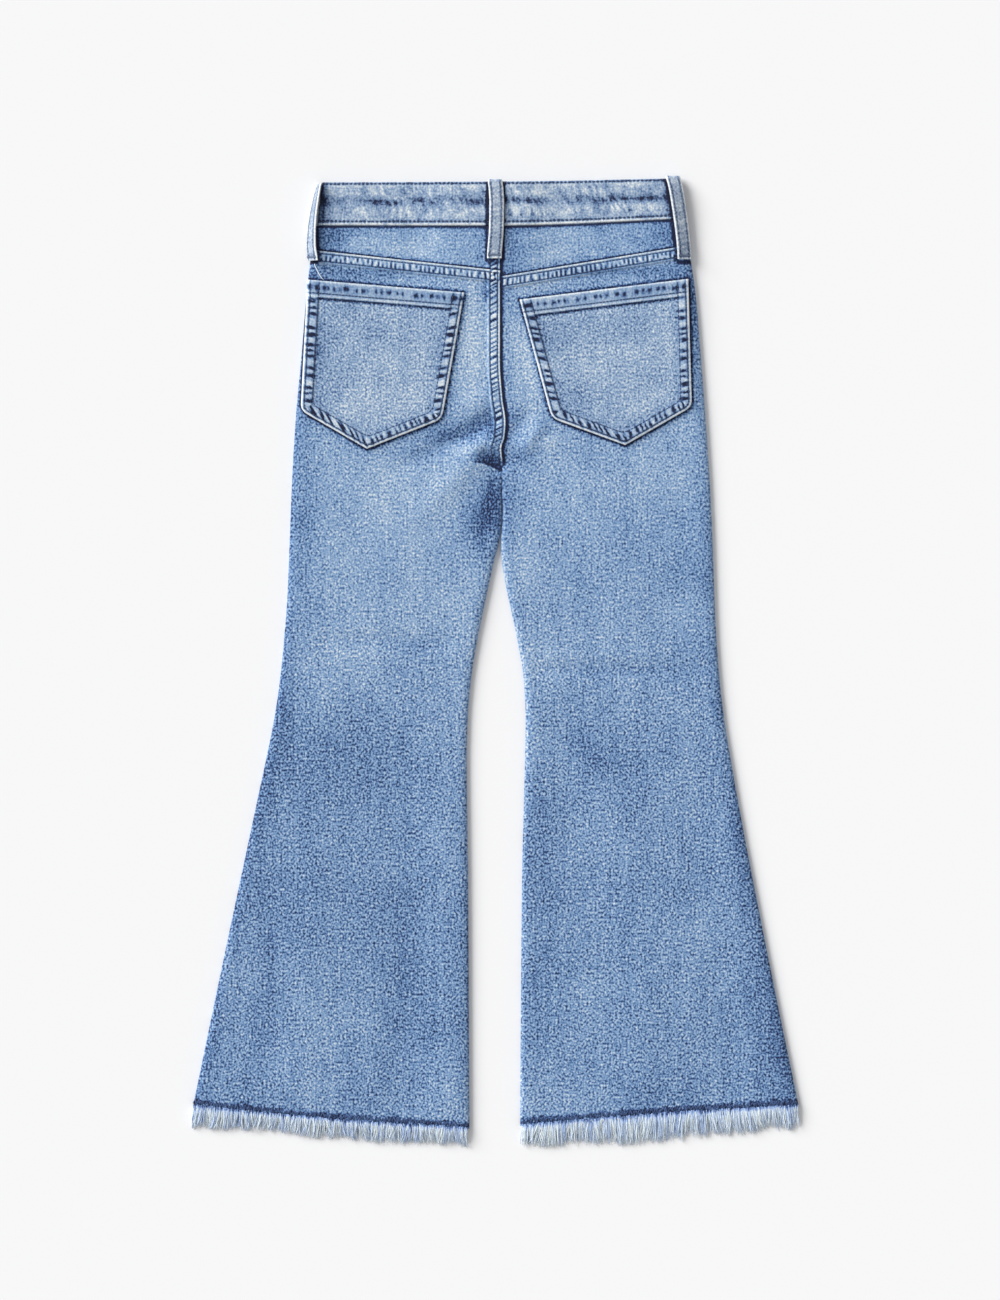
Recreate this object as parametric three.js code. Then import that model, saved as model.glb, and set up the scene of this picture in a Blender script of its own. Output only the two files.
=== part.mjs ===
// A child's flared jeans with raw, fringed hems, laid flat on their front with the back uppermost.
// Millimetres. +X runs to the right across the back, +Y towards the waist, +Z up from the floor at z = 0.
// The origin lies on the floor under the middle of the outline, about 1 mm from the tables' own zero.
// "Left" and "right" are as the back is seen.
import * as THREE from "three";

// Cloth and seams
const CLOTH = 1.1; // one layer of denim
const SEAM_GAP = 0.3; // between two pieces that are sewn together
const FELL_WIDTH = 8.6; // the lapped, twice-stitched seam under the yoke and down the seat
const FELL_RISE = 0.9; // and how far its folded layers stand up
const FELL_EDGE = 0.6; // its rounded edge

// The height of the pile of cloth
const BACK_HEIGHT = 4.9; // outer face of the back panels above the floor
const SIDE_SEAM_HEIGHT = 2.4; // where back meets front along the sides and insides of the legs
const BACK_ROLL = 7; // how far in from a side the back begins to turn down
const FRONT_ROLL = 4; // how far in from a side the front begins to turn up
const WAIST_ROLL = 4; // the back's turn just under the waistband
const FRONT_LIFT = 1.5; // the front of the waist is held this far off the floor by its loops and button
const LIFT_FROM = 265; // the front panels start to rise here
const LIFT_TO = 305; // and are fully raised here
const FLY_RISE = 1.7; // the folded fly underneath lifts the yoke
const FLY_MIDDLE = -8;
const FLY_HALF_WIDTH = 24;
const FLY_SLOPE = 34; // the width over which that rise fades out to the sides
const FLY_END = 200; // and where it ends, down the seat

// The waistband
const BAND_HEIGHT = 33;
const BAND_CLOTH = 1.8; // two layers
const BAND_EDGE = 1.2; // its folded edge
const BAND_RISE_AT_FLY = 2; // its back lies over the buttoned underlap
const BAND_TAPER = 0.023; // how much narrower its top edge is than its lower one
const FRONT_DIP = 14; // the front of the waist is cut this much lower than the back
const OVERLAP_END = 1; // where the band's outer end stops at the middle of the front
const UNDERLAP_END = -30; // and its inner end, which the button holds

// The hem and its fringe
const FRINGE_STRIP = 1.7; // woven edge that the threads hang from
const FRINGE_CLOTH = 1;
const FRINGE_GAP = 0.5; // between the strip and the cloth above it
const FRINGE_INSET = 3; // the strip starts this far in from the side seams
const BACK_LOCKS = 72; // locks of thread on each back hem
const FRONT_LOCKS = 30;

// Outer edges of the hips and legs
const SIDES = [
  { y: 358.5, left: -131.6, right: 137.6 },
  { y: 326, left: -135.8, right: 141.4 },
  { y: 299, left: -140.2, right: 145.1 },
  { y: 271, left: -143.2, right: 148.9 },
  { y: 226, left: -147, right: 152.6 },
  { y: 181, left: -151.1, right: 156 },
  { y: 136, left: -153.8, right: 159 },
  { y: 91, left: -155.6, right: 161.2 },
  { y: 46, left: -157.5, right: 162.8 },
  { y: 16, left: -159.8, right: 164.2 },
  { y: -14, left: -162.8, right: 166.5 },
  { y: -44, left: -167.2, right: 169.9 },
  { y: -74, left: -173.2, right: 174.8 },
  { y: -104, left: -179.6, right: 180 },
  { y: -224, left: -205.1, right: 203.2 },
  { y: -337, left: -228.6, right: 226.4 },
];

// The seat seam, and below the crotch the insides of the legs
const CROTCH = 142;
const INSIDES = [
  { y: 360, left: 2.2, right: 2.2 },
  { y: 224, left: 2.2, right: 2.2 },
  { y: 196, left: 4, right: 4 },
  { y: 178, left: 6.4, right: 6.4 },
  { y: 167, left: 5.6, right: 5.6 },
  { y: 158, left: 3.2, right: 3.2 },
  { y: 148, left: 4, right: 4 },
  { y: CROTCH, left: 3.4, right: 3.4 },
  { y: 106, left: 3.4, right: 3.8 },
  { y: 87, left: 1.1, right: 2.6 },
  { y: 76, left: -1.9, right: 3 },
  { y: 61, left: -5.2, right: 5.2 },
  { y: 16, left: -14.6, right: 14.6 },
  { y: -14, left: -19.5, right: 19.5 },
  { y: -44, left: -22.1, right: 21.1 },
  { y: -74, left: -22.9, right: 20.6 },
  { y: -164, left: -21.8, right: 18.4 },
  { y: -350, left: -20.8, right: 16.9 },
];

// The edge of the cloth at each hem
const HEM_MIDDLE = -340;
const HEM = {
  left: [
    { x: -228, y: -334.5 },
    { x: -125, y: -345 },
    { x: -20, y: -351.7 },
  ],
  right: [
    { x: 18, y: -349.5 },
    { x: 122, y: -340.7 },
    { x: 227, y: -334.5 },
  ],
};

// About where the threads of each hem end
const FRINGE_END = {
  left: [
    { x: -228, y: -349.5 },
    { x: -125, y: -355.5 },
    { x: -20, y: -363 },
  ],
  right: [
    { x: 18, y: -363 },
    { x: 122, y: -358.5 },
    { x: 227, y: -349.5 },
  ],
};

// The seam between yoke and leg, and the edges of the waistband across the back
const YOKE_SEAM = {
  left: [
    { x: -140, y: 307 },
    { x: 2, y: 291.4 },
  ],
  right: [
    { x: 2, y: 286.9 },
    { x: 145, y: 310.6 },
  ],
};
const BAND_TOP = [
  { x: -132, y: 357.6 },
  { x: 2, y: 358.2 },
  { x: 138, y: 360.6 },
];
const BAND_BOTTOM = [
  { x: -136, y: 325.2 },
  { x: 2, y: 325 },
  { x: 141, y: 330.2 },
];

// Creases of the seat and crotch, the pressed lines at the knees, and soft waves down the legs.
// rise is the height at the first end, and riseEnd at the other; below zero it is a hollow.
const FOLDS = [
  { x: -6.4, y: 178, xEnd: -79, yEnd: 140, width: 7, rise: -2, riseEnd: -0.4 },
  { x: -8, y: 161, xEnd: -67, yEnd: 98, width: 10, rise: 2.4, riseEnd: 0.2 },
  { x: -9, y: 153, xEnd: 1, yEnd: 144, width: 5, rise: -2.9, riseEnd: -2.3 },
  { x: -9, y: 196, xEnd: -36, yEnd: 184, width: 7, rise: 0.8, riseEnd: 0.3 },
  { x: 22, y: 160, xEnd: 34, yEnd: 176, width: 5, rise: 1.5, riseEnd: 0.8 },
  { x: 11, y: 168, xEnd: 23, yEnd: 184, width: 5, rise: -1.2, riseEnd: -0.6 },
  { x: 7, y: 149, xEnd: 16, yEnd: 143, width: 5, rise: -1.4, riseEnd: -0.6 },
  { x: -126, y: 16, xEnd: -39, yEnd: 12, width: 6, rise: -0.5, riseEnd: -0.7 },
  { x: 32, y: -8, xEnd: 156, yEnd: -7, width: 6, rise: -0.7, riseEnd: -0.5 },
  { x: -126, y: -29, xEnd: -148, yEnd: -314, width: 20, rise: 0.3, riseEnd: 0.7 },
  { x: -66, y: -74, xEnd: -73, yEnd: -329, width: 18, rise: -0.4, riseEnd: -0.9 },
  { x: -38, y: -104, xEnd: -36, yEnd: -329, width: 13, rise: 0.3, riseEnd: 0.7 },
  { x: 47, y: -59, xEnd: 69, yEnd: -179, width: 16, rise: -0.6, riseEnd: -0.3 },
  { x: 107, y: -104, xEnd: 107, yEnd: -314, width: 20, rise: 0.2, riseEnd: 0.7 },
  { x: 152, y: -119, xEnd: 174, yEnd: -314, width: 18, rise: -0.3, riseEnd: -0.7 },
];

// The corners of each back pocket: its top edge, its lower corners and its point
const POCKETS = {
  left: {
    topLeft: { x: -141.4, y: 284.6 },
    topRight: { x: -24.8, y: 274.9 },
    lowRight: { x: -41.5, y: 180.2 },
    point: { x: -97.7, y: 157.9 },
    lowLeft: { x: -147.1, y: 186.5 },
  },
  right: {
    topLeft: { x: 16.7, y: 269.7 },
    topRight: { x: 142.9, y: 285.2 },
    lowRight: { x: 145.8, y: 189.4 },
    point: { x: 95.9, y: 160.7 },
    lowLeft: { x: 40.8, y: 180.8 },
  },
};
const POCKET_CLEAR = 0.65; // under the pocket
const POCKET_CLOTH = 1.1;
const POCKET_FOLD = 0.7; // the edge turned under adds this
const POCKET_EDGE = 0.8;
const POCKET_TURN = 7.5; // how wide its side edges are turned under
const POCKET_HEM = 12.4; // and its top edge
const POCKET_CORNER = 4.5; // its lower corners are rounded by this

// Belt loops: x, y and z along the middle of the strip's inner face, and its lean to the side in degrees
const LOOP_WIDTH = 11;
const LOOP_CLOTH = 1.3;
const LOOPS = {
  belt_loop_back: [
    { x: -1.6, y: 358.6, z: 5.2, lean: 0 },
    { x: -1.6, y: 358.6, z: 7.2, lean: 0 },
    { x: -1.6, y: 357.5, z: 8, lean: 0 },
    { x: -1, y: 353, z: 8.7, lean: 0 },
    { x: -0.4, y: 340, z: 9.2, lean: 0 },
    { x: -0.8, y: 322, z: 9.2, lean: 0 },
    { x: -1.8, y: 309, z: 8.7, lean: 0 },
    { x: -2.2, y: 303.4, z: 8.15, lean: 0 },
    { x: -2.2, y: 300.6, z: 8.15, lean: 0 },
  ],
  belt_loop_side_right: [
    { x: 131.6, y: 361.3, z: 3.8, lean: 6 },
    { x: 131.6, y: 361.3, z: 5.4, lean: 6 },
    { x: 131.9, y: 360.2, z: 6.4, lean: 8 },
    { x: 133.4, y: 354.6, z: 7.2, lean: 11 },
    { x: 136, y: 339, z: 7.8, lean: 17 },
    { x: 138, y: 324, z: 7.8, lean: 21 },
    { x: 139.3, y: 312, z: 7.6, lean: 23 },
    { x: 139.9, y: 305, z: 7.3, lean: 23 },
    { x: 140, y: 300, z: 7.2, lean: 23 },
  ],
  belt_loop_side_left: [
    { x: -132.6, y: 356.6, z: 5.8, lean: -79 },
    { x: -133.6, y: 353.2, z: 5.8, lean: -76 },
    { x: -135.5, y: 344.6, z: 5.7, lean: -70 },
    { x: -137.5, y: 333, z: 5.6, lean: -64 },
    { x: -138.8, y: 321, z: 5.7, lean: -58 },
    { x: -139.2, y: 310, z: 6, lean: -52 },
    { x: -138.5, y: 302.6, z: 6.6, lean: -47 },
    { x: -138.1, y: 299, z: 6.8, lean: -46 },
  ],
};

// The loops and button of the front, which the waistband rests on
const FRONT_LOOP_X = { left: -78, right: 82 };
const FRONT_LOOP_CLOTH = 1.1;
const FRONT_LOOP_PAST = 9; // how far a front loop runs past each edge of the band
const BUTTON_RADIUS = 7.5;
const BUTTON_HEIGHT = 1.2;
const BUTTON_DISH = 0.4;
const BUTTON_X = -9;

const DENIM = { color: "#8ea9cc", roughness: 0.92, metalness: 0 };
const WORN_DENIM = { color: "#a3b6cb", roughness: 0.92, metalness: 0 };
const THREADS = { color: "#c6d3e2", roughness: 0.95, metalness: 0 };
const BRASS = { color: "#8d7a55", roughness: 0.4, metalness: 0.9 };

const clamp = (v, low, high) => Math.min(high, Math.max(low, v));
const mix = (a, b, t) => a + (b - a) * t;
const smooth = (from, to, v) => {
  const t = clamp((v - from) / (to - from), 0, 1);
  return t * t * (3 - 2 * t);
};

// A repeatable spread of values from 0 to 1.
const scatter = (n) => {
  const v = Math.sin(n * 127.1 + 311.7) * 43758.5453;
  return v - Math.floor(v);
};

// The value of one column of a table at a place along another, on a curve that never overshoots its rows.
function curveAt(table, along, column, at) {
  const rows = table[0][along] < table[1][along] ? table : [...table].reverse();
  const last = rows.length - 1;
  const slope = (k) => (rows[k + 1][column] - rows[k][column]) / (rows[k + 1][along] - rows[k][along]);
  const tangent = (k) => {
    if (k === 0) return slope(0);
    if (k === last) return slope(last - 1);
    const before = slope(k - 1);
    const after = slope(k);
    return before * after <= 0 ? 0 : (2 * before * after) / (before + after);
  };
  if (at <= rows[0][along]) return rows[0][column] + slope(0) * (at - rows[0][along]);
  if (at >= rows[last][along]) return rows[last][column] + slope(last - 1) * (at - rows[last][along]);
  const k = rows.findIndex((row, i) => i < last && at < rows[i + 1][along]);
  const run = rows[k + 1][along] - rows[k][along];
  const t = (at - rows[k][along]) / run;
  return (
    rows[k][column] * (1 + 2 * t) * (1 - t) ** 2 +
    tangent(k) * run * t * (1 - t) ** 2 +
    rows[k + 1][column] * t * t * (3 - 2 * t) +
    tangent(k + 1) * run * t * t * (t - 1)
  );
}

// The two edges of a leg or of half the seat at a height y, half a seam's gap inside the middle line.
const outerEdge = (side, y) => curveAt(SIDES, "y", side, y);
const innerEdge = (side, y) => curveAt(INSIDES, "y", side, y) + (side === "left" ? -1 : 1) * (SEAM_GAP / 2);

const hemAt = (side, x) => curveAt(HEM[side], "x", "y", x);
const yokeSeamAt = (side, x) => curveAt(YOKE_SEAM[side], "x", "y", x);
const bandTopAt = (x) => curveAt(BAND_TOP, "x", "y", x);
const bandBottomAt = (x) => curveAt(BAND_BOTTOM, "x", "y", x);

function foldHeight(fold, x, y) {
  const along = { x: fold.xEnd - fold.x, y: fold.yEnd - fold.y };
  const t = clamp(((x - fold.x) * along.x + (y - fold.y) * along.y) / (along.x ** 2 + along.y ** 2), 0, 1);
  const away = Math.hypot(x - fold.x - t * along.x, y - fold.y - t * along.y) / fold.width;
  return mix(fold.rise, fold.riseEnd, t) * Math.exp(-away * away);
}

// How far the cloth over the fly is lifted, from 0 to 1.
const flyShare = (x) => 1 - smooth(FLY_HALF_WIDTH, FLY_HALF_WIDTH + FLY_SLOPE, Math.abs(x - FLY_MIDDLE));

const frontLift = (y) => FRONT_LIFT * smooth(LIFT_FROM, LIFT_TO, y);
const seamHeight = (y) => SIDE_SEAM_HEIGHT + 0.5 * frontLift(y);
const backRoll = (y) => mix(BACK_ROLL, WAIST_ROLL, smooth(LIFT_FROM, LIFT_TO, y));

// Outer face of the back, away from its edges.
function backTop(x, y) {
  const fly = FLY_RISE * flyShare(x) * smooth(FLY_END, LIFT_TO, y);
  const waist = 0.3 * smooth(LIFT_FROM, LIFT_TO, y);
  return FOLDS.reduce((z, fold) => z + foldHeight(fold, x, y), BACK_HEIGHT + fly + waist);
}

// The turn of a sheet at its edges: 0 at a side seam, where it stands upright, and 1 inside it.
function turn(side, x, y, roll) {
  const quarter = (distance) => Math.sqrt(1 - (1 - clamp(distance / roll, 0, 1)) ** 2);
  const legs = smooth(CROTCH, CROTCH - 22, y); // the insides of the legs turn in below the crotch
  const inside = quarter(Math.abs(x - innerEdge(side, y)));
  return quarter(Math.abs(x - outerEdge(side, y))) * mix(1, inside, legs);
}

function backFace(side, x, y) {
  const seam = seamHeight(y) + SEAM_GAP / 2;
  return mix(seam, backTop(x, y), turn(side, x, y, backRoll(y)));
}

function frontFace(side, x, y) {
  const seam = seamHeight(y) - SEAM_GAP / 2;
  const floor = frontLift(y);
  const roll = mix(FRONT_ROLL, 2.4, smooth(LIFT_FROM, LIFT_TO, y));
  return mix(seam, floor, turn(side, x, y, roll));
}

// A closed solid between two grids of points, which are lists of rows.
function shell(outer, inner) {
  const rows = outer.length;
  const columns = outer[0].length;
  const at = (layer, row, column) => (layer * rows + row) * columns + column;
  const points = [...outer.flat(), ...inner.flat()];
  const faces = [];
  const quad = (a, b, c, d) => faces.push([a, b, c], [a, c, d]);
  for (let j = 0; j < rows - 1; j++) {
    for (let i = 0; i < columns - 1; i++) {
      quad(at(0, j, i), at(0, j + 1, i), at(0, j + 1, i + 1), at(0, j, i + 1));
      quad(at(1, j, i), at(1, j, i + 1), at(1, j + 1, i + 1), at(1, j + 1, i));
    }
    quad(at(0, j + 1, 0), at(0, j, 0), at(1, j, 0), at(1, j + 1, 0));
    quad(at(0, j, columns - 1), at(0, j + 1, columns - 1), at(1, j + 1, columns - 1), at(1, j, columns - 1));
  }
  for (let i = 0; i < columns - 1; i++) {
    quad(at(0, 0, i), at(0, 0, i + 1), at(1, 0, i + 1), at(1, 0, i));
    quad(at(0, rows - 1, i + 1), at(0, rows - 1, i), at(1, rows - 1, i), at(1, rows - 1, i + 1));
  }
  return solid(points, faces);
}

// A geometry from points and triangles, turned so that its faces point out.
function solid(points, faces) {
  const volume = faces.reduce((sum, [a, b, c]) => {
    return sum + points[a].dot(new THREE.Vector3().crossVectors(points[b], points[c]));
  }, 0);
  const turned = volume < 0 ? faces.map(([a, b, c]) => [a, c, b]) : faces;
  const geometry = new THREE.BufferGeometry();
  geometry.setAttribute(
    "position",
    new THREE.Float32BufferAttribute(
      points.flatMap((p) => [p.x, p.y, p.z]),
      3,
    ),
  );
  geometry.setIndex(turned.flat());
  geometry.computeVertexNormals();
  return geometry;
}

// Unit normals of a grid of points, on the side that up points to.
function gridNormals(grid, up) {
  return grid.map((row, j) =>
    row.map((_, i) => {
      const before = row[Math.max(i - 1, 0)];
      const after = row[Math.min(i + 1, row.length - 1)];
      const across = new THREE.Vector3().subVectors(after, before);
      const above = grid[Math.max(j - 1, 0)][i];
      const below = grid[Math.min(j + 1, grid.length - 1)][i];
      const normal = new THREE.Vector3().subVectors(above, below).cross(across).normalize();
      return normal.z * up < 0 ? normal.negate() : normal;
    }),
  );
}

// The columns of a panel: set distances in from each edge, and even shares of what is left between them.
function columnPlaces(fromOuter, shares, fromInner) {
  return [
    ...fromOuter.map((inset) => ({ inset, from: "outer" })),
    ...shares.map((share) => ({ share })),
    ...[...fromInner].reverse().map((inset) => ({ inset, from: "inner" })),
  ];
}

const evenly = (count) => Array.from({ length: count }, (_, k) => (k + 1) / (count + 1));
const rollInsets = (roll, steps) =>
  Array.from({ length: steps + 1 }, (_, k) => roll * (1 - Math.cos((k / steps) * (Math.PI / 2))));

// The places (x, y) of a panel's grid. A row is a line across that follows the panel's top and bottom edges.
function panelPlaces(side, columns, rows, topAt, bottomAt) {
  const inward = side === "left" ? 1 : -1;
  const lastOuter = Math.max(...columns.filter((c) => c.from === "outer").map((c) => c.inset));
  const lastInner = Math.max(...columns.filter((c) => c.from === "inner").map((c) => c.inset));
  const xAt = (column, y) => {
    const outer = outerEdge(side, y);
    const inner = innerEdge(side, y);
    if (column.from === "outer") return outer + inward * column.inset;
    if (column.from === "inner") return inner - inward * column.inset;
    return mix(outer + inward * lastOuter, inner - inward * lastInner, column.share);
  };
  const yAt = (row, x) => {
    if (row.down !== undefined) return topAt(x) - row.down;
    return mix(topAt(x) - row.after, bottomAt(x), row.share);
  };
  return rows.map((row) =>
    columns.map((column) => {
      let y = yAt(row, 0.5 * (outerEdge(side, 0) + innerEdge(side, 0)));
      let x = xAt(column, y);
      for (let pass = 0; pass < 6; pass++) {
        y = yAt(row, x);
        x = xAt(column, y);
      }
      return { x, y };
    }),
  );
}

// The outer points of a panel moved in by its thickness.
// At a side seam the wall stands upright, so its points go straight in.
function insideOf(side, outer, up, thickness) {
  const normals = gridNormals(outer, up);
  return outer.map((row, j) =>
    row.map((p, i) => {
      const n = normals[j][i].clone();
      const atOuter = Math.abs(p.x - outerEdge(side, p.y)) < 0.01;
      const atInner = Math.abs(p.x - innerEdge(side, p.y)) < 0.01;
      if (atOuter) n.set(side === "left" ? -1 : 1, 0, 0);
      if (atInner) {
        const upright = smooth(CROTCH, CROTCH - 22, p.y);
        n.set(mix(0, side === "left" ? 1 : -1, upright), 0, mix(up, 0, upright)).normalize();
      }
      if (j === 0 || j === outer.length - 1) n.setY(0).normalize();
      return p.clone().addScaledVector(n, -thickness);
    }),
  );
}

// How far the left side's lap stands up along the seat seam, and the leg's along the yoke seam.
function fellRise(distance) {
  if (distance < FELL_EDGE) return mix(0.35, 1, distance / FELL_EDGE) * FELL_RISE;
  return FELL_RISE * (1 - smooth(FELL_WIDTH - 0.4, FELL_WIDTH + 0.9, distance));
}

function backPanel(side, rows, topAt, bottomAt, lapsOverYoke) {
  const roll = rollInsets(lapsOverYoke ? BACK_ROLL : WAIST_ROLL, 4);
  const lap = [0, FELL_EDGE, 2.4, 5.2, FELL_WIDTH - 0.4, 9.6];
  const columns = columnPlaces(roll, evenly(lapsOverYoke ? 6 : 4), lap);
  const outer = panelPlaces(side, columns, rows, topAt, bottomAt).map((row) =>
    row.map(({ x, y }) => {
      const fromSeat = Math.abs(x - innerEdge(side, y));
      const seat = side === "left" ? fellRise(fromSeat) * smooth(CROTCH, CROTCH + 12, y) : 0;
      const yoke = lapsOverYoke ? fellRise(topAt(x) - y) : 0;
      const upright = turn(side, x, y, backRoll(y));
      return new THREE.Vector3(x, y, backFace(side, x, y) + Math.max(seat, yoke) * upright);
    }),
  );
  return shell(outer, backInside(side, outer));
}

// The inner face of a back panel is plain under its laps: the cloth's thickness below the face itself.
function backInside(side, outer) {
  const plain = outer.map((row) => row.map((p) => new THREE.Vector3(p.x, p.y, backFace(side, p.x, p.y))));
  return insideOf(side, plain, 1, CLOTH);
}

// The back leg's rows: the lap at its top, then rows that meet the other leg's along the seat.
// They are closest at the crotch.
function legRows(side) {
  const laps = [0, FELL_EDGE, FELL_WIDTH - 0.4, FELL_WIDTH + 0.9].map((down) => ({ down }));
  const after = FELL_WIDTH + 0.9;
  const middle = INSIDES[0][side];
  const from = yokeSeamAt(side, middle) - after;
  const length = from - hemAt(side, innerEdge(side, HEM_MIDDLE));
  const spacing = (y) => {
    if (y > 210) return 12;
    if (y > 135) return 6;
    if (y > 70) return 10;
    return y > 0 ? 16 : 26;
  };
  const rows = [];
  for (let y = 267; y > HEM_MIDDLE + 8; y -= spacing(y)) rows.push({ after, share: (from - y) / length });
  return [...laps, { after, share: 0 }, ...rows, { after, share: 1 }].filter((row, k, all) => {
    return k === 0 || row.share !== 0 || all[k - 1].down !== after;
  });
}

function backLeg(side) {
  return backPanel(
    side,
    legRows(side),
    (x) => yokeSeamAt(side, x),
    (x) => hemAt(side, x),
    true,
  );
}

function yoke(side) {
  const rows = [0, 0.33, 0.66, 1].map((share) => ({ after: SEAM_GAP, share }));
  return backPanel(side, rows, bandBottomAt, (x) => yokeSeamAt(side, x) + SEAM_GAP, false);
}

// Lower edge of the waistband's front, which dips towards the middle.
function frontWaistAt(x) {
  const side = x < 0 ? SIDES[1].left : SIDES[1].right;
  return mix(bandBottomAt(0) - FRONT_DIP, bandBottomAt(side), clamp(x / side, 0, 1));
}

function frontLeg(side) {
  const columns = columnPlaces(rollInsets(FRONT_ROLL, 3), evenly(2), rollInsets(FRONT_ROLL, 3));
  const topAt = (x) => frontWaistAt(x) - SEAM_GAP;
  const shares = [0, 0.02, 0.045, 0.07, 0.1, 0.16, 0.21, 0.235, 0.255, 0.27, 0.29, 0.32, 0.35];
  for (let s = 0.39; s < 0.99; s += 0.06) shares.push(s);
  shares.push(1);
  const rows = shares.map((share) => ({ after: 0, share }));
  const outer = panelPlaces(side, columns, rows, topAt, (x) => hemAt(side, x)).map((row) =>
    row.map(({ x, y }) => new THREE.Vector3(x, y, frontFace(side, x, y))),
  );
  return shell(outer, insideOf(side, outer, -1, CLOTH));
}

// The middle of the waistband's cloth, once round from its inner end to its outer end, as x, height and face.
function bandPath() {
  const bend = 1.1; // half the distance from the front's middle to the back's
  const front = FRONT_LIFT + BAND_CLOTH / 2;
  const back = front + 2 * bend;
  const path = [];
  const rampFrom = 27;
  const rampTo = 8;
  const underlap = (x) => (BAND_CLOTH + SEAM_GAP) * (1 - smooth(rampTo, rampFrom, x));
  const onBack = (x) => back + BAND_RISE_AT_FLY * flyShare(x);
  const edge = { left: SIDES[1].left + 1, right: SIDES[1].right - 1 };
  const inset = bend + BAND_CLOTH / 2;
  for (const x of [UNDERLAP_END, -10, 0, rampTo, 13, 18, rampFrom, 80, edge.right - inset]) {
    path.push({ x, z: front + underlap(x), face: "front" });
  }
  const bendRound = (x, outward, from, to) => {
    for (let k = 1; k < 6; k++) {
      const angle = mix(from, to, k / 6);
      path.push({
        x: x + outward * bend * Math.cos(angle),
        z: front + bend + bend * Math.sin(angle),
        face: "side",
      });
    }
  };
  bendRound(edge.right - inset, 1, -Math.PI / 2, Math.PI / 2);
  const acrossBack = [112, 84, 60, 40, 25, 14, 0, -16, -30, -42, -56, -70, -90, -112];
  for (const x of [edge.right - inset, ...acrossBack, edge.left + inset]) {
    path.push({ x, z: onBack(x), face: "back" });
  }
  bendRound(edge.left + inset, -1, Math.PI / 2, -Math.PI / 2);
  for (const x of [edge.left + inset, -80, 0, OVERLAP_END]) path.push({ x, z: front, face: "front" });
  return path;
}

// The waistband's upper edge: straight across the back and dipping at the front.
function bandUpperAt(x, face) {
  return face === "back" ? bandTopAt(x) : frontWaistAt(x) + bandTopAt(x) - bandBottomAt(x);
}

function waistband() {
  const path = bandPath();
  const sides = path.map((p, k) => {
    const before = path[Math.max(k - 1, 0)];
    const after = path[Math.min(k + 1, path.length - 1)];
    const away = new THREE.Vector2(after.z - before.z, before.x - after.x).normalize();
    return away;
  });
  const rows = [
    { from: "top", inset: 0, half: 0.35 },
    { from: "top", inset: BAND_EDGE, half: 1 },
    { from: "bottom", inset: BAND_EDGE, half: 1 },
    { from: "bottom", inset: 0, half: 0.35 },
  ];
  const grid = (outward) =>
    rows.map((row) =>
      path.map((p, k) => {
        const top = bandUpperAt(p.x, p.face === "side" ? "back" : p.face);
        const bottom = p.face === "front" ? frontWaistAt(p.x) : bandBottomAt(p.x);
        const y = row.from === "top" ? top - row.inset : bottom + row.inset;
        const reach = outward * row.half * (BAND_CLOTH / 2);
        const narrowed = 1 - BAND_TAPER * clamp((y - SIDES[1].y) / BAND_HEIGHT, 0, 1.1);
        return new THREE.Vector3((p.x + sides[k].x * reach) * narrowed, y, p.z + sides[k].y * reach);
      }),
    );
  return shell(grid(1), grid(-1));
}

// The point of a side's outer back face at a place, moved out along its normal.
function onBack(side, x, y, out) {
  const step = 0.15;
  const place = (dx, dy) => new THREE.Vector3(x + dx, y + dy, backFace(side, x + dx, y + dy));
  const across = new THREE.Vector3().subVectors(place(step, 0), place(-step, 0));
  const up = new THREE.Vector3().subVectors(place(0, step), place(0, -step));
  const normal = new THREE.Vector3().crossVectors(across, up).normalize();
  return place(0, 0).addScaledVector(normal, out);
}

// How far a rounded corner lifts an edge, at a distance in from the side.
function rounding(distance, radius) {
  const left = Math.max(radius - distance, 0);
  return radius - Math.sqrt(radius ** 2 - left ** 2);
}

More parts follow.
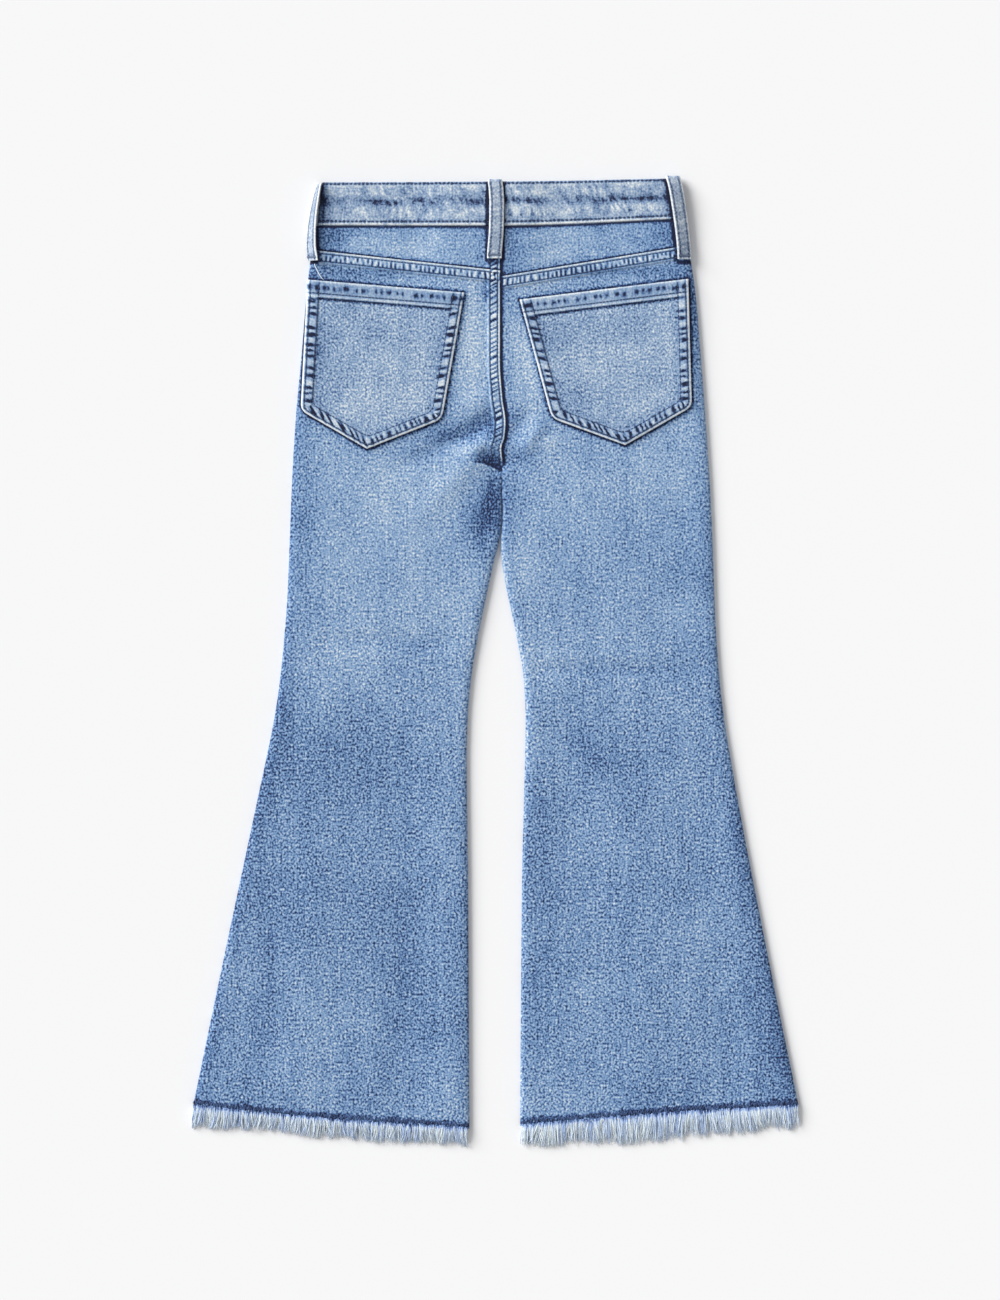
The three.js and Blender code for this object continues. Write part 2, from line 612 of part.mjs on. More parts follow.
function pocket(side) {
  const { topLeft, topRight, lowRight, point, lowLeft } = POCKETS[side];
  const lineX = (a, b, y) => mix(a.x, b.x, (y - a.y) / (b.y - a.y));
  const lineY = (a, b, x) => mix(a.y, b.y, (x - a.x) / (b.x - a.x));
  const turned = [0, POCKET_EDGE, POCKET_TURN, POCKET_TURN + 1];
  const rolled = [0, POCKET_EDGE, 2.2, 4.4, POCKET_TURN, POCKET_TURN + 1];
  const columns = [
    ...rolled.map((inset) => ({ inset, from: "left" })),
    ...evenly(5).map((share) => ({ share: mix(0.08, 0.92, share) })),
    ...[...rolled].reverse().map((inset) => ({ inset, from: "right" })),
  ];
  const rows = [
    ...[0, POCKET_EDGE, POCKET_HEM, POCKET_HEM + 1].map((inset) => ({ inset, from: "top" })),
    ...evenly(4).map((share) => ({ share })),
    ...[...turned].reverse().map((inset) => ({ inset, from: "bottom" })),
  ];
  const xAt = (column, y) => {
    const left = lineX(topLeft, lowLeft, y);
    const right = lineX(topRight, lowRight, y);
    if (column.from === "left") return left + column.inset;
    if (column.from === "right") return right - column.inset;
    return mix(left, right, column.share);
  };
  const yAt = (row, column, x) => {
    const top = lineY(topLeft, topRight, x);
    const straight = x < point.x ? lineY(lowLeft, point, x) : lineY(point, lowRight, x);
    const bottom = straight + rounding(column.inset ?? POCKET_CORNER, POCKET_CORNER);
    if (row.from === "top") return top - row.inset;
    if (row.from === "bottom") return bottom + row.inset;
    return mix(top - POCKET_HEM - 1, bottom + POCKET_TURN + 1, row.share);
  };
  const thickness = (row, column) => {
    const edge = row.inset === 0 || column.inset === 0;
    const plain = (place, width) => place.inset === undefined || place.inset > width;
    const inside = plain(row, row.from === "top" ? POCKET_HEM : POCKET_TURN) && plain(column, POCKET_TURN);
    if (edge) return POCKET_CLOTH;
    return inside ? POCKET_CLOTH : POCKET_CLOTH + POCKET_FOLD;
  };
  const grid = (reach) =>
    rows.map((row) =>
      columns.map((column) => {
        let y = 0.5 * (topLeft.y + lowLeft.y);
        let x = xAt(column, y);
        for (let pass = 0; pass < 8; pass++) {
          y = yAt(row, column, x);
          x = xAt(column, y);
        }
        return onBack(side, x, y, reach(row, column));
      }),
    );
  return shell(
    grid((row, column) => POCKET_CLEAR + thickness(row, column)),
    grid(() => POCKET_CLEAR),
  );
}

// A flat strip whose inner face follows a list of places, each leaning to the side by its own angle.
function strap(places, width, thickness) {
  const middle = places.map((p) => new THREE.Vector3(p.x, p.y, p.z));
  const outer = [];
  const inner = [];
  middle.forEach((p, k) => {
    const before = middle[Math.max(k - 1, 0)];
    const after = middle[Math.min(k + 1, middle.length - 1)];
    const along = new THREE.Vector3().subVectors(after, before).normalize();
    const lean = THREE.MathUtils.degToRad(places[k].lean);
    const across = new THREE.Vector3(Math.cos(lean), 0, -Math.sin(lean));
    const out = new THREE.Vector3().crossVectors(along, across).normalize();
    const shares = [-0.5, -0.44, 0.44, 0.5];
    inner.push(shares.map((share) => p.clone().addScaledVector(across, share * width)));
    outer.push(
      shares.map((share, i) => {
        const full = i === 0 || i === shares.length - 1 ? 0.6 : 1;
        return p.clone().addScaledVector(across, share * width).addScaledVector(out, full * thickness);
      }),
    );
  });
  return shell(outer, inner);
}

function frontLoop(side) {
  const x = FRONT_LOOP_X[side];
  const top = bandUpperAt(x, "front");
  const bottom = frontWaistAt(x) - FRONT_LOOP_PAST;
  const places = [top, mix(top, bottom, 0.2), mix(top, bottom, 0.8), bottom];
  return strap(
    places.map((y) => ({ x, y, z: 0, lean: 0 })),
    LOOP_WIDTH,
    FRONT_LOOP_CLOTH,
  );
}

// The button's outer face lies on the floor, dished inside a rim.
function button() {
  const rim = BUTTON_RADIUS - 1.6;
  const outline = [
    [0, BUTTON_DISH],
    [rim - 0.8, BUTTON_DISH],
    [rim, 0],
    [BUTTON_RADIUS - 0.4, 0],
    [BUTTON_RADIUS, 0.4],
    [BUTTON_RADIUS, BUTTON_HEIGHT - 0.2],
    [BUTTON_RADIUS - 0.3, BUTTON_HEIGHT],
    [0, BUTTON_HEIGHT],
  ].map(([radius, height]) => new THREE.Vector2(radius, height));
  const geometry = new THREE.LatheGeometry(outline, 20);
  geometry.rotateX(Math.PI / 2);
  const middle = frontWaistAt(BUTTON_X) + BAND_HEIGHT / 2;
  geometry.translate(BUTTON_X, middle, 0);
  return facingOut(geometry);
}

// A lathed geometry with its shared points merged and its faces pointing out.
function facingOut(geometry) {
  const position = geometry.getAttribute("position");
  const points = Array.from({ length: position.count }, (_, k) => {
    return new THREE.Vector3().fromBufferAttribute(position, k);
  });
  const faces = [];
  for (let k = 0; k < geometry.index.count; k += 3) {
    faces.push([geometry.index.getX(k), geometry.index.getX(k + 1), geometry.index.getX(k + 2)]);
  }
  return solid(points, faces);
}

// A raw hem: a narrow woven strip with locks of thread that run out of it and stand apart past their roots.
function fringe(side, face) {
  const locks = face === "back" ? BACK_LOCKS : FRONT_LOCKS;
  const hemY = hemAt(side, 0.5 * (outerEdge(side, HEM_MIDDLE) + innerEdge(side, HEM_MIDDLE)));
  const outward = side === "left" ? -1 : 1;
  const from = outerEdge(side, hemY) - outward * FRINGE_INSET;
  const to = innerEdge(side, hemY) + outward * FRINGE_INSET;
  const heightAt = (x) => {
    const y = hemAt(side, x);
    if (face === "back") return backFace(side, x, y) - 0.1 - FRINGE_CLOTH;
    return Math.max(frontFace(side, x, y) + 0.2, 0.25);
  };
  const points = [];
  const faces = [];
  const add = (x, y, z) => points.push(new THREE.Vector3(x, y, z)) - 1;
  const quad = (a, b, c, d) => faces.push([a, b, c], [a, c, d]);
  const stations = Array.from({ length: locks + 1 }, (_, k) => {
    const x = mix(from, to, k / locks);
    const y = hemAt(side, x) - FRINGE_GAP;
    const z = heightAt(x);
    return {
      edgeTop: add(x, y, z + FRINGE_CLOTH),
      rootTop: add(x, y - FRINGE_STRIP, z + FRINGE_CLOTH * 0.9),
      rootLow: add(x, y - FRINGE_STRIP, z + 0.1),
      edgeLow: add(x, y, z),
    };
  });
  const rails = ["edgeTop", "rootTop", "rootLow", "edgeLow"];
  for (const end of [0, locks]) {
    const [a, b, c, d] = rails.map((rail) => stations[end][rail]);
    if (end === 0) quad(a, b, c, d);
    else quad(d, c, b, a);
  }
  for (let k = 0; k < locks; k++) {
    const here = stations[k];
    const next = stations[k + 1];
    quad(here.edgeTop, next.edgeTop, next.rootTop, here.rootTop);
    quad(here.edgeLow, here.rootLow, next.rootLow, next.edgeLow);
    quad(here.edgeTop, here.edgeLow, next.edgeLow, next.edgeTop);
    const seed = k + locks * (side === "left" ? 1 : 2) + (face === "back" ? 500 : 0);
    const root = [here.rootTop, next.rootTop, next.rootLow, here.rootLow];
    const centre = root.reduce((sum, n) => sum.add(points[n]), new THREE.Vector3()).multiplyScalar(0.25);
    const reach = (centre.y - curveAt(FRINGE_END[side], "x", "y", centre.x)) * (0.8 + 0.28 * scatter(seed));
    const sway = (scatter(seed + 77) - 0.5) * 3.2;
    const tipZ = Math.max(0.45, centre.z * (0.35 + 0.3 * scatter(seed + 31)));
    const tip = add(centre.x + sway, centre.y - reach, tipZ);
    if (face === "front") {
      root.forEach((n, i) => faces.push([n, root[(i + 1) % 4], tip]));
      continue;
    }
    const half = new THREE.Vector3(centre.x + sway * 0.3, centre.y - reach * 0.5, mix(centre.z, tipZ, 0.3));
    const ring = root.map((n) => {
      const p = points[n];
      return add(half.x + (p.x - centre.x) * 0.62, half.y, half.z + (p.z - centre.z) * 0.7);
    });
    root.forEach((n, i) => quad(n, root[(i + 1) % 4], ring[(i + 1) % 4], ring[i]));
    ring.forEach((n, i) => faces.push([n, ring[(i + 1) % 4], tip]));
  }
  return solid(points, faces);
}

const jeans = new THREE.Group();
const add = (name, geometry, finish) => {
  const mesh = new THREE.Mesh(geometry, new THREE.MeshStandardMaterial(finish));
  mesh.name = name;
  jeans.add(mesh);
};

for (const side of ["left", "right"]) {
  add(`back_leg_${side}`, backLeg(side), DENIM);
  add(`front_leg_${side}`, frontLeg(side), DENIM);
  add(`yoke_${side}`, yoke(side), DENIM);
  add(`back_pocket_${side}`, pocket(side), WORN_DENIM);
  add(`belt_loop_front_${side}`, frontLoop(side), WORN_DENIM);
  add(`fringe_back_${side}`, fringe(side, "back"), THREADS);
  add(`fringe_front_${side}`, fringe(side, "front"), THREADS);
}
add("waistband", waistband(), WORN_DENIM);
for (const [name, places] of Object.entries(LOOPS)) {
  add(name, strap(places, LOOP_WIDTH, LOOP_CLOTH), WORN_DENIM);
}
add("button", button(), BRASS);

// The outline's middle stands over the origin.
const middle = new THREE.Box3().setFromObject(jeans).getCenter(new THREE.Vector3());
jeans.position.set(-middle.x, -middle.y, 0);

export default jeans;
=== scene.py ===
import math

import bpy
import numpy as np
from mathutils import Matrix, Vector


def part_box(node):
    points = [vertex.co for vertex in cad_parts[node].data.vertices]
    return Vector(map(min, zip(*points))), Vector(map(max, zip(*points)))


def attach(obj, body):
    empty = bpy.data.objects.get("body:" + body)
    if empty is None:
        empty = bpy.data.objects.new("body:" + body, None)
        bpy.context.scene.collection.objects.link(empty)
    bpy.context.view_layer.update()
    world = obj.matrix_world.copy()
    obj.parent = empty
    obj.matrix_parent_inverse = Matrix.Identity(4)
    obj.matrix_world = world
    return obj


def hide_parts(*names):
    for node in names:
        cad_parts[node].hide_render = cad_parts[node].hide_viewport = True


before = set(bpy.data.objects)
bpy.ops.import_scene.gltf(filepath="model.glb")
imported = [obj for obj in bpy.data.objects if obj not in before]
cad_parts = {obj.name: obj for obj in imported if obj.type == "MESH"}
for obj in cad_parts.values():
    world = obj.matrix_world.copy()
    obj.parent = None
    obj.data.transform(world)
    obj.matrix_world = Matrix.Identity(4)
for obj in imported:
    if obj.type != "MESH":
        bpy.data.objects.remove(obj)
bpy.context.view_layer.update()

MM = 0.001
# The two sides as the back shows them, and the way that points out of each
OUTWARD = {"left": -1, "right": 1}


def table(names, *rows):
    """A short table as named columns."""
    return dict(zip(names.split(), np.array(rows, float).T))


# Cloth and seams
CLOTH = 1.1
SEAM_GAP = 0.3
LAP_WIDTH = 9.0
LAP_RISE = 0.9
STITCH_ROWS = (1.9, 7.5)

# The height of the pile of cloth
BACK_HEIGHT = 4.9
SIDE_SEAM_HEIGHT = 2.4
BACK_ROLL = 7
FRONT_ROLL = 4
WAIST_ROLL = 4
FRONT_LIFT = 1.5
LIFT_FROM = 265
LIFT_TO = 305
FLY_RISE = 1.7
FLY_MIDDLE = -8
FLY_HALF_WIDTH = 24
FLY_SLOPE = 34
FLY_END = 200

# The waistband
BAND_HEIGHT = 33
BAND_CLOTH = 1.8
BAND_RISE_AT_FLY = 2
BAND_TAPER = 0.023
BAND_SEED = 3.3
FRONT_DIP = 14
OVERLAP_END = 1
UNDERLAP_END = -30
BUTTON_X = -9

# Outer edges of the hips and legs, the seat seam and the insides of the legs
CROTCH = 142
LEGS_PART = 22
SIDES = table(
    "y left right",
    (358.5, -131.6, 137.6), (326, -135.8, 141.4), (299, -140.2, 145.1), (271, -143.2, 148.9),
    (226, -147, 152.6), (181, -151.1, 156), (136, -153.8, 159), (91, -155.6, 161.2),
    (46, -157.5, 162.8), (16, -159.8, 164.2), (-14, -162.8, 166.5), (-44, -167.2, 169.9),
    (-74, -173.2, 174.8), (-104, -179.6, 180), (-224, -205.1, 203.2), (-337, -228.6, 226.4),
)
INSIDES = table(
    "y left right",
    (360, 2.2, 2.2), (224, 2.2, 2.2), (196, 4, 4), (178, 6.4, 6.4), (167, 5.6, 5.6), (158, 3.2, 3.2),
    (148, 4, 4), (CROTCH, 3.4, 3.4), (106, 3.4, 3.8), (87, 1.1, 2.6), (76, -1.9, 3), (61, -5.2, 5.2),
    (16, -14.6, 14.6), (-14, -19.5, 19.5), (-44, -22.1, 21.1), (-74, -22.9, 20.6), (-164, -21.8, 18.4),
    (-350, -20.8, 16.9),
)
HEM = {
    "left": table("x y", (-228, -334.5), (-125, -345), (-20, -351.7)),
    "right": table("x y", (18, -349.5), (122, -340.7), (227, -334.5)),
}
FRINGE_END = {
    "left": table("x y", (-228, -349.3), (-162, -353.3), (-117, -359), (-20, -364)),
    "right": table("x y", (18, -363.4), (78, -362.4), (122, -359.4), (227, -349.5)),
}
YOKE_SEAM = {
    "left": table("x y", (-140, 307), (2, 291.4)),
    "right": table("x y", (2, 286.9), (145, 310.6)),
}
BAND_TOP = table("x y", (-132, 357.6), (2, 358.2), (138, 360.6))
BAND_BOTTOM = table("x y", (-136, 325.2), (2, 325), (141, 330.2))

# The solids' creases: a rise at each end of a line and its width. Below zero it is a hollow.
FOLDS = table(
    "x y x_end y_end width rise rise_end",
    (-6.4, 178, -79, 140, 7, -2, -0.4), (-8, 161, -67, 98, 10, 2.4, 0.2),
    (-9, 153, 1, 144, 5, -2.9, -2.3), (-9, 196, -36, 184, 7, 0.8, 0.3), (22, 160, 34, 176, 5, 1.5, 0.8),
    (11, 168, 23, 184, 5, -1.2, -0.6), (7, 149, 16, 143, 5, -1.4, -0.6),
    (-126, 16, -39, 12, 6, -0.5, -0.7), (32, -8, 156, -7, 6, -0.7, -0.5),
    (-126, -29, -148, -314, 20, 0.3, 0.7), (-66, -74, -73, -329, 18, -0.4, -0.9),
    (-38, -104, -36, -329, 13, 0.3, 0.7), (47, -59, 69, -179, 16, -0.6, -0.3),
    (107, -104, 107, -314, 20, 0.2, 0.7), (152, -119, 174, -314, 18, -0.3, -0.7),
)

# Smaller creases over them
CREASES = table(
    "x y x_end y_end width rise rise_end",
    (-12, 172, -50, 157, 2.6, -0.45, -0.1), (-14, 186, -34, 172, 3, 0.35, 0.1),
    (26, 166, 8, 176, 2.6, 0.4, 0.15), (36, 178, 44, 164, 3.4, -0.35, -0.1),
    (40, 163, 27, 158, 3, 0.4, 0.2), (-3, 130, -12, 90, 6, -0.7, -0.3),
    (10, 140, 24, 118, 7, -0.35, -0.1), (-120, 22, -60, 26, 5, 0.25, 0.1),
    (40, 2, 120, 4, 5, 0.25, 0.15), (60, -60, 96, -84, 9, -0.4, -0.1),
    (-136, 120, -110, 60, 12, 0.3, 0.1), (-100, 130, -52, 44, 14, 0.35, 0.2),
    (60, 130, 104, 40, 15, 0.35, 0.2), (140, 120, 128, 30, 11, -0.3, -0.1),
)

# Soft troughs of the underside, which bow up from the floor
UNDER_CREASES = table(
    "x y x_end y_end width rise rise_end",
    (-8, 176, -70, 196, 5, 0.45, 0.1), (-10, 160, -84, 158, 7, 0.5, 0.15),
    (-14, 140, -74, 104, 6, 0.35, 0.1), (10, 172, 66, 190, 5, 0.4, 0.1),
    (12, 156, 92, 150, 7, 0.5, 0.1), (14, 136, 60, 98, 5, 0.3, 0.1), (-130, 14, -48, 10, 6, 0.35, 0.45),
    (36, -6, 148, -4, 6, 0.45, 0.3), (-120, -40, -150, -300, 15, 0.2, 0.4),
    (-50, -120, -56, -320, 12, 0.2, 0.4), (60, -90, 72, -310, 14, 0.2, 0.4),
    (150, -110, 170, -310, 15, 0.2, 0.4),
)

# The fly's two stitch rows run down and then curve in to the seam
FLY_STITCH_X = -34
FLY_STITCH_END = 198
FLY_SEAM_X = 1.0
FLY_ROWS = (0, 5)
FLY_RADIUS = FLY_SEAM_X - FLY_STITCH_X
FLY_BEND = FLY_STITCH_END + FLY_RADIUS

# The lip of the deep fold left of the crotch
LIP = table("x y", (-24, 148.2), (-17, 147.8), (-7, 145.4), (3.4, 140.4))

# Where the cloth is paler or darker, partly from the dye's fading and partly painted shade and highlight on
# the folds and hollows near the crotch: middle, half widths and amount
FADES_AND_SHADES = table(
    "x y half_x half_y tone",
    (-72, 112, 46, 50, 0.07), (88, 118, 44, 44, 0.02), (-60, 40, 60, 40, 0.03), (95, 45, 55, 40, 0.01),
    (-20, 225, 13, 60, 0.22), (24, 225, 13, 45, 0.20), (-4, 117, 9, 20, -0.20),
    (-13, 104, 12, 22, -0.15), (-24, 96, 14, 22, -0.07), (8, 124, 6, 18, -0.05),
    (-8, 84, 12, 26, -0.07), (-3, 172, 5, 14, -0.14), (-14, 177, 12, 9, -0.24),
    (-36, 168, 18, 7, -0.24), (-60, 155, 22, 8, -0.15), (-26, 158, 16, 5, 0.09),
    (20, 151, 11, 6, -0.12), (14, 181, 9, 8, -0.10), (25, 179, 4, 10, 0.12), (33, 172, 6, 9, -0.10),
    (40, 164, 8, 5, 0.08), (10, 100, 10, 40, -0.05), (-140, 60, 14, 90, -0.06),
    (150, 60, 13, 90, -0.02), (-100, 290, 60, 5, -0.21), (96, 291, 58, 5, -0.21),
    (-38, -220, 14, 100, 0.05), (-70, -200, 13, 110, -0.05), (-175, -230, 10, 110, -0.05),
    (80, -80, 16, 12, -0.06), (-58, 9, 18, 4.5, -0.09), (-88, 14, 34, 3.5, -0.05),
    (96, -8.5, 56, 3.5, -0.06), (-160, -10, 9, 60, -0.06), (70, -200, 20, 120, 0.02),
    (112, 318, 28, 12, -0.10), (-126, 316, 14, 14, -0.20), (-96, 322, 26, 6, -0.05),
    (130, 318, 10, 15, -0.17), (-14, 306, 12, 12, -0.05), (12, 311, 9, 15, -0.13),
    (60, 316, 40, 6, 0.03), (-66, 313, 36, 7, 0.05), (149, 255, 5, 34, -0.08), (-8, 275, 5, 8, -0.10),
    (-7.6, 284, 2.2, 3, -0.24), (-8.4, 273, 1.8, 4.5, -0.26), (-1.4, 281, 2, 2.6, -0.22),
    (-100, -20, 40, 30, 0.02), (100, 60, 40, 30, -0.02), (-120, -220, 60, 90, 0.02),
    (-110, 70, 22, 40, 0.03),
)

# The tone of the cloth's inner face
INNER_TONE = 0.72

# Corners of the back pockets
POCKETS = {
    "left": ((-141.4, 284.6), (-24.8, 274.9), (-41.5, 180.2), (-97.7, 157.9), (-147.1, 186.5)),
    "right": ((16.7, 269.7), (142.9, 285.2), (145.8, 189.4), (95.9, 160.7), (40.8, 180.8)),
}
POCKET_CLEAR = 0.65
POCKET_CLOTH = 1.1
POCKET_FOLD = 0.7
POCKET_TURN = 7.5
POCKET_HEM = 12.4
POCKET_CORNER = 4.5

# Belt loops: the middle of the strip's inner face and its lean in degrees
LOOP_WIDTH = 11
LOOP_CLOTH = 1.3
LOOPS = {
    "belt_loop_back": table(
        "x y z lean",
        (-1.6, 358.6, 5.2, 0),
        (-1.6, 358.6, 7.2, 0),
        (-1.6, 357.5, 8, 0),
        (-1, 353, 8.7, 0),
        (-0.4, 340, 9.2, 0),
        (-0.8, 322, 9.2, 0),
        (-1.8, 309, 8.7, 0),
        (-2.2, 303.4, 8.15, 0),
        (-2.2, 300.6, 8.15, 0),
    ),
    "belt_loop_side_right": table(
        "x y z lean",
        (131.6, 361.3, 3.8, 6),
        (131.6, 361.3, 5.4, 6),
        (131.9, 360.2, 6.4, 8),
        (133.4, 354.6, 7.2, 11),
        (136, 339, 7.8, 17),
        (138, 324, 7.8, 21),
        (139.3, 312, 7.6, 23),
        (139.9, 305, 7.3, 23),
        (140, 300, 7.2, 23),
    ),
    "belt_loop_side_left": table(
        "x y z lean",
        (-132.6, 356.6, 5.8, -79),
        (-133.6, 353.2, 5.8, -76),
        (-135.5, 344.6, 5.7, -70),
        (-137.5, 333, 5.6, -64),
        (-138.8, 321, 5.7, -58),
        (-139.2, 310, 6, -52),
        (-138.5, 302.6, 6.6, -47),
        (-138.1, 299, 6.8, -46),
    ),
}
# Their long edges as seen from above, beside which shadow is painted on the cloth
LOOP_EDGES = table(
    "y side_left back_left back_right side_right",
    (298, -134.3, -7.3, 3.7, 135.0), (321, -135.8, -7.3, 3.7, 132.9), (339, -134.5, -7.2, 3.8, 130.8),
    (350, -132.7, -6.9, 4.2, 129.0), (361, -130.8, -6.4, 4.6, 126.2),
)
# The loops' lower ends, under which shadow is painted on the cloth too
LOOP_ENDS_Y = 297.8
LOOP_ENDS = ((-146, -134), (-7.6, 4.0), (134.6, 146))
FRONT_LOOP_X = {"left": -78, "right": 82}
FRONT_LOOP_CLOTH = 1.1
FRONT_LOOP_PAST = 9

# How far the fine cloth of the underside keeps above the floor, for its sewing
UNDERSIDE = 0.25

# Sewing
STITCH_PITCH = 2.5
STITCH_LENGTH = 1.8
STITCH_RADIUS = 0.42
STITCH_AT = np.array([0, 0.12, 0.5, 0.88, 1])
STITCH_FORM = np.array([0.55, 0.95, 1, 0.95, 0.55])
TACK_FROM_END = 2.6
BAND_PITCH = 3.1
BAND_STITCH = 1.9


def smooth(low, high, v):
    t = np.clip((np.asarray(v, float) - low) / (high - low), 0, 1)
    return t * t * (3 - 2 * t)


def mix(a, b, t):
    return a + (b - a) * t


def bump(v, width):
    return np.exp(-((np.asarray(v, float) / width) ** 2))


def unit(v):
    return v / np.maximum(np.linalg.norm(v, axis=-1, keepdims=True), 1e-9)


def lengths_along(points):
    """How far along a run each of its points lies."""
    return np.concatenate([[0], np.cumsum(np.linalg.norm(np.diff(points, axis=0), axis=1))])


def curve_at(rows, along, column, at):
    """One column of a table at a place along another, on a curve that never overshoots its rows."""
    order = np.argsort(rows[along])
    xs, ys = rows[along][order], rows[column][order]
    slope = np.diff(ys) / np.diff(xs)
    product = slope[:-1] * slope[1:]
    total = np.where(product > 0, slope[:-1] + slope[1:], 1)
    inner = np.where(product > 0, 2 * product / total, 0)
    tangent = np.concatenate([slope[:1], inner, slope[-1:]])
    at = np.asarray(at, float)
    k = np.clip(np.searchsorted(xs, at, side="right") - 1, 0, len(slope) - 1)
    run = xs[k + 1] - xs[k]
    raw = (at - xs[k]) / run
    t = np.clip(raw, 0, 1)
    inside = (
        ys[k] * (1 + 2 * t) * (1 - t) ** 2
        + tangent[k] * run * t * (1 - t) ** 2
        + ys[k + 1] * t * t * (3 - 2 * t)
        + tangent[k + 1] * run * t * t * (t - 1)
    )
    before = np.minimum(raw, 0) * run * tangent[0]
    after = np.maximum(raw - 1, 0) * run * tangent[-1]
    return inside + before + after


def scatter(i, j, seed):
    v = np.sin(i * 127.1 + j * 311.7 + seed * 74.7) * 43758.5453
    return v - np.floor(v)


def cloud(x, y, cell, seed):
    """Smooth uneven values from -1 to 1 that change over about one cell."""
    u, v = np.asarray(x, float) / cell, np.asarray(y, float) / cell
    i, j = np.floor(u), np.floor(v)
    s, t = smooth(0, 1, u - i), smooth(0, 1, v - j)
    low = mix(scatter(i, j, seed), scatter(i + 1, j, seed), s)
    high = mix(scatter(i, j + 1, seed), scatter(i + 1, j + 1, seed), s)
    return 2 * mix(low, high, t) - 1


def ripple(s, pitch, seed):
    """Uneven ripples from -1 to 1 along a seam."""
    s = np.asarray(s, float)
    phase = s / pitch + 0.45 * np.sin(0.11 * s + 1.7 * seed) + 0.3 * np.sin(0.23 * s + 2.9 * seed)
    size = 0.65 + 0.35 * np.sin(0.083 * s + 4.1 * seed)
    return size * np.sin(2 * np.pi * phase)


def rungs(s, pitch, seed):
    """Even puckers from -1 to 1 along a seam, with a little wander."""
    s = np.asarray(s, float)
    phase = s / pitch + 0.25 * np.sin(0.17 * s + 1.7 * seed) + 0.2 * np.sin(0.41 * s + 2.9 * seed)
    return np.sin(2 * np.pi * phase)


def leg_share(y):
    """0 above the crotch and 1 where the legs have parted."""
    return smooth(CROTCH, CROTCH - LEGS_PART, y)


def waist_share(y):
    return smooth(LIFT_FROM, LIFT_TO, y)


def outer_edge(side, y):
    return curve_at(SIDES, "y", side, y)


def inner_edge(side, y):
    return curve_at(INSIDES, "y", side, y) + OUTWARD[side] * SEAM_GAP / 2


def hem_at(side, x):
    return curve_at(HEM[side], "x", "y", x)


def yoke_seam_at(side, x):
    return curve_at(YOKE_SEAM[side], "x", "y", x)


def band_top_at(x):
    return curve_at(BAND_TOP, "x", "y", x)


def band_bottom_at(x):
    return curve_at(BAND_BOTTOM, "x", "y", x)


def front_waist_at(x):
    """Lower edge of the waistband's front, which dips towards the middle."""
    x = np.asarray(x, float)
    side = np.where(x < 0, SIDES["left"][1], SIDES["right"][1])
    ends = np.where(x < 0, band_bottom_at(SIDES["left"][1]), band_bottom_at(SIDES["right"][1]))
    return mix(band_bottom_at(0) - FRONT_DIP, ends, np.clip(x / side, 0, 1))


def fold_height(rows, x, y):
    total = np.zeros(np.broadcast(x, y).shape)
    for x0, y0, x1, y1, width, rise, rise_end in zip(*rows.values()):
        dx, dy = x1 - x0, y1 - y0
        t = np.clip(((x - x0) * dx + (y - y0) * dy) / (dx * dx + dy * dy), 0, 1)
        away = np.hypot(x - x0 - t * dx, y - y0 - t * dy)
        total += mix(rise, rise_end, t) * bump(away, width)
    return total


def fly_share(x):
    return 1 - smooth(FLY_HALF_WIDTH, FLY_HALF_WIDTH + FLY_SLOPE, np.abs(x - FLY_MIDDLE))


def back_top(x, y):
    """Outer face of the back, away from its edges."""
    fly = FLY_RISE * fly_share(x) * smooth(FLY_END, LIFT_TO, y)
    waist = 0.3 * waist_share(y)
    return BACK_HEIGHT + fly + waist + fold_height(FOLDS, x, y)


def front_lift(y):
    return FRONT_LIFT * waist_share(y)


def turn(side, x, y, roll):
    """The turn of a sheet at its edges: 0 at a side seam, where it stands upright, and 1 inside it."""

    def quarter(distance):
        return np.sqrt(np.clip(1 - (1 - np.clip(distance / roll, 0, 1)) ** 2, 0, 1))

    inside = quarter(np.abs(x - inner_edge(side, y)))
    return quarter(np.abs(x - outer_edge(side, y))) * mix(1, inside, leg_share(y))


def back_turn(side, x, y):
    return turn(side, x, y, mix(BACK_ROLL, WAIST_ROLL, waist_share(y)))


def back_face(side, x, y):
    seam = SIDE_SEAM_HEIGHT + 0.5 * front_lift(y) + SEAM_GAP / 2
    return mix(seam, back_top(x, y), back_turn(side, x, y))


def front_face(side, x, y):
    seam = SIDE_SEAM_HEIGHT + 0.5 * front_lift(y) - SEAM_GAP / 2
    roll = mix(FRONT_ROLL, 2.4, waist_share(y))
    return mix(seam, front_lift(y), turn(side, x, y, roll))


# The tables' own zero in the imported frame, from the button, which lies at a known place in both
button_low, button_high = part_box("button")
SHIFT = (button_low + button_high) / 2 - Vector(
    (BUTTON_X * MM, (float(front_waist_at(BUTTON_X)) + BAND_HEIGHT / 2) * MM, 0)
)
SHIFT.z = 0


def add_object(name, data):
    made = bpy.data.objects.new(name, data)
    bpy.context.scene.collection.objects.link(made)
    return made


def new_object(name, points, faces, attributes, material):
    """A mesh object from points in millimetres, with values stored at its points."""
    mesh = bpy.data.meshes.new(name)
    places = np.asarray(points, float) * MM + np.array(SHIFT)
    mesh.from_pydata(places.tolist(), [], faces)
    mesh.polygons.foreach_set("use_smooth", np.ones(len(mesh.polygons), bool))
    for key, values in attributes.items():
        values = np.asarray(values, np.float32)
        kind = "FLOAT" if values.ndim == 1 else "FLOAT_VECTOR"
        layer = mesh.attributes.new(key, kind, "POINT")
        layer.data.foreach_set("value" if values.ndim == 1 else "vector", values.ravel())
    mesh.update()
    mesh.materials.append(material)
    return add_object(name, mesh)


def grid_normals(grid, up):
    """Unit normals of a grid of points, on the side that up points to."""
    normal = unit(np.cross(np.gradient(grid, axis=1), np.gradient(grid, axis=0)))
    return np.where(normal[..., 2:] * up < 0, -normal, normal)


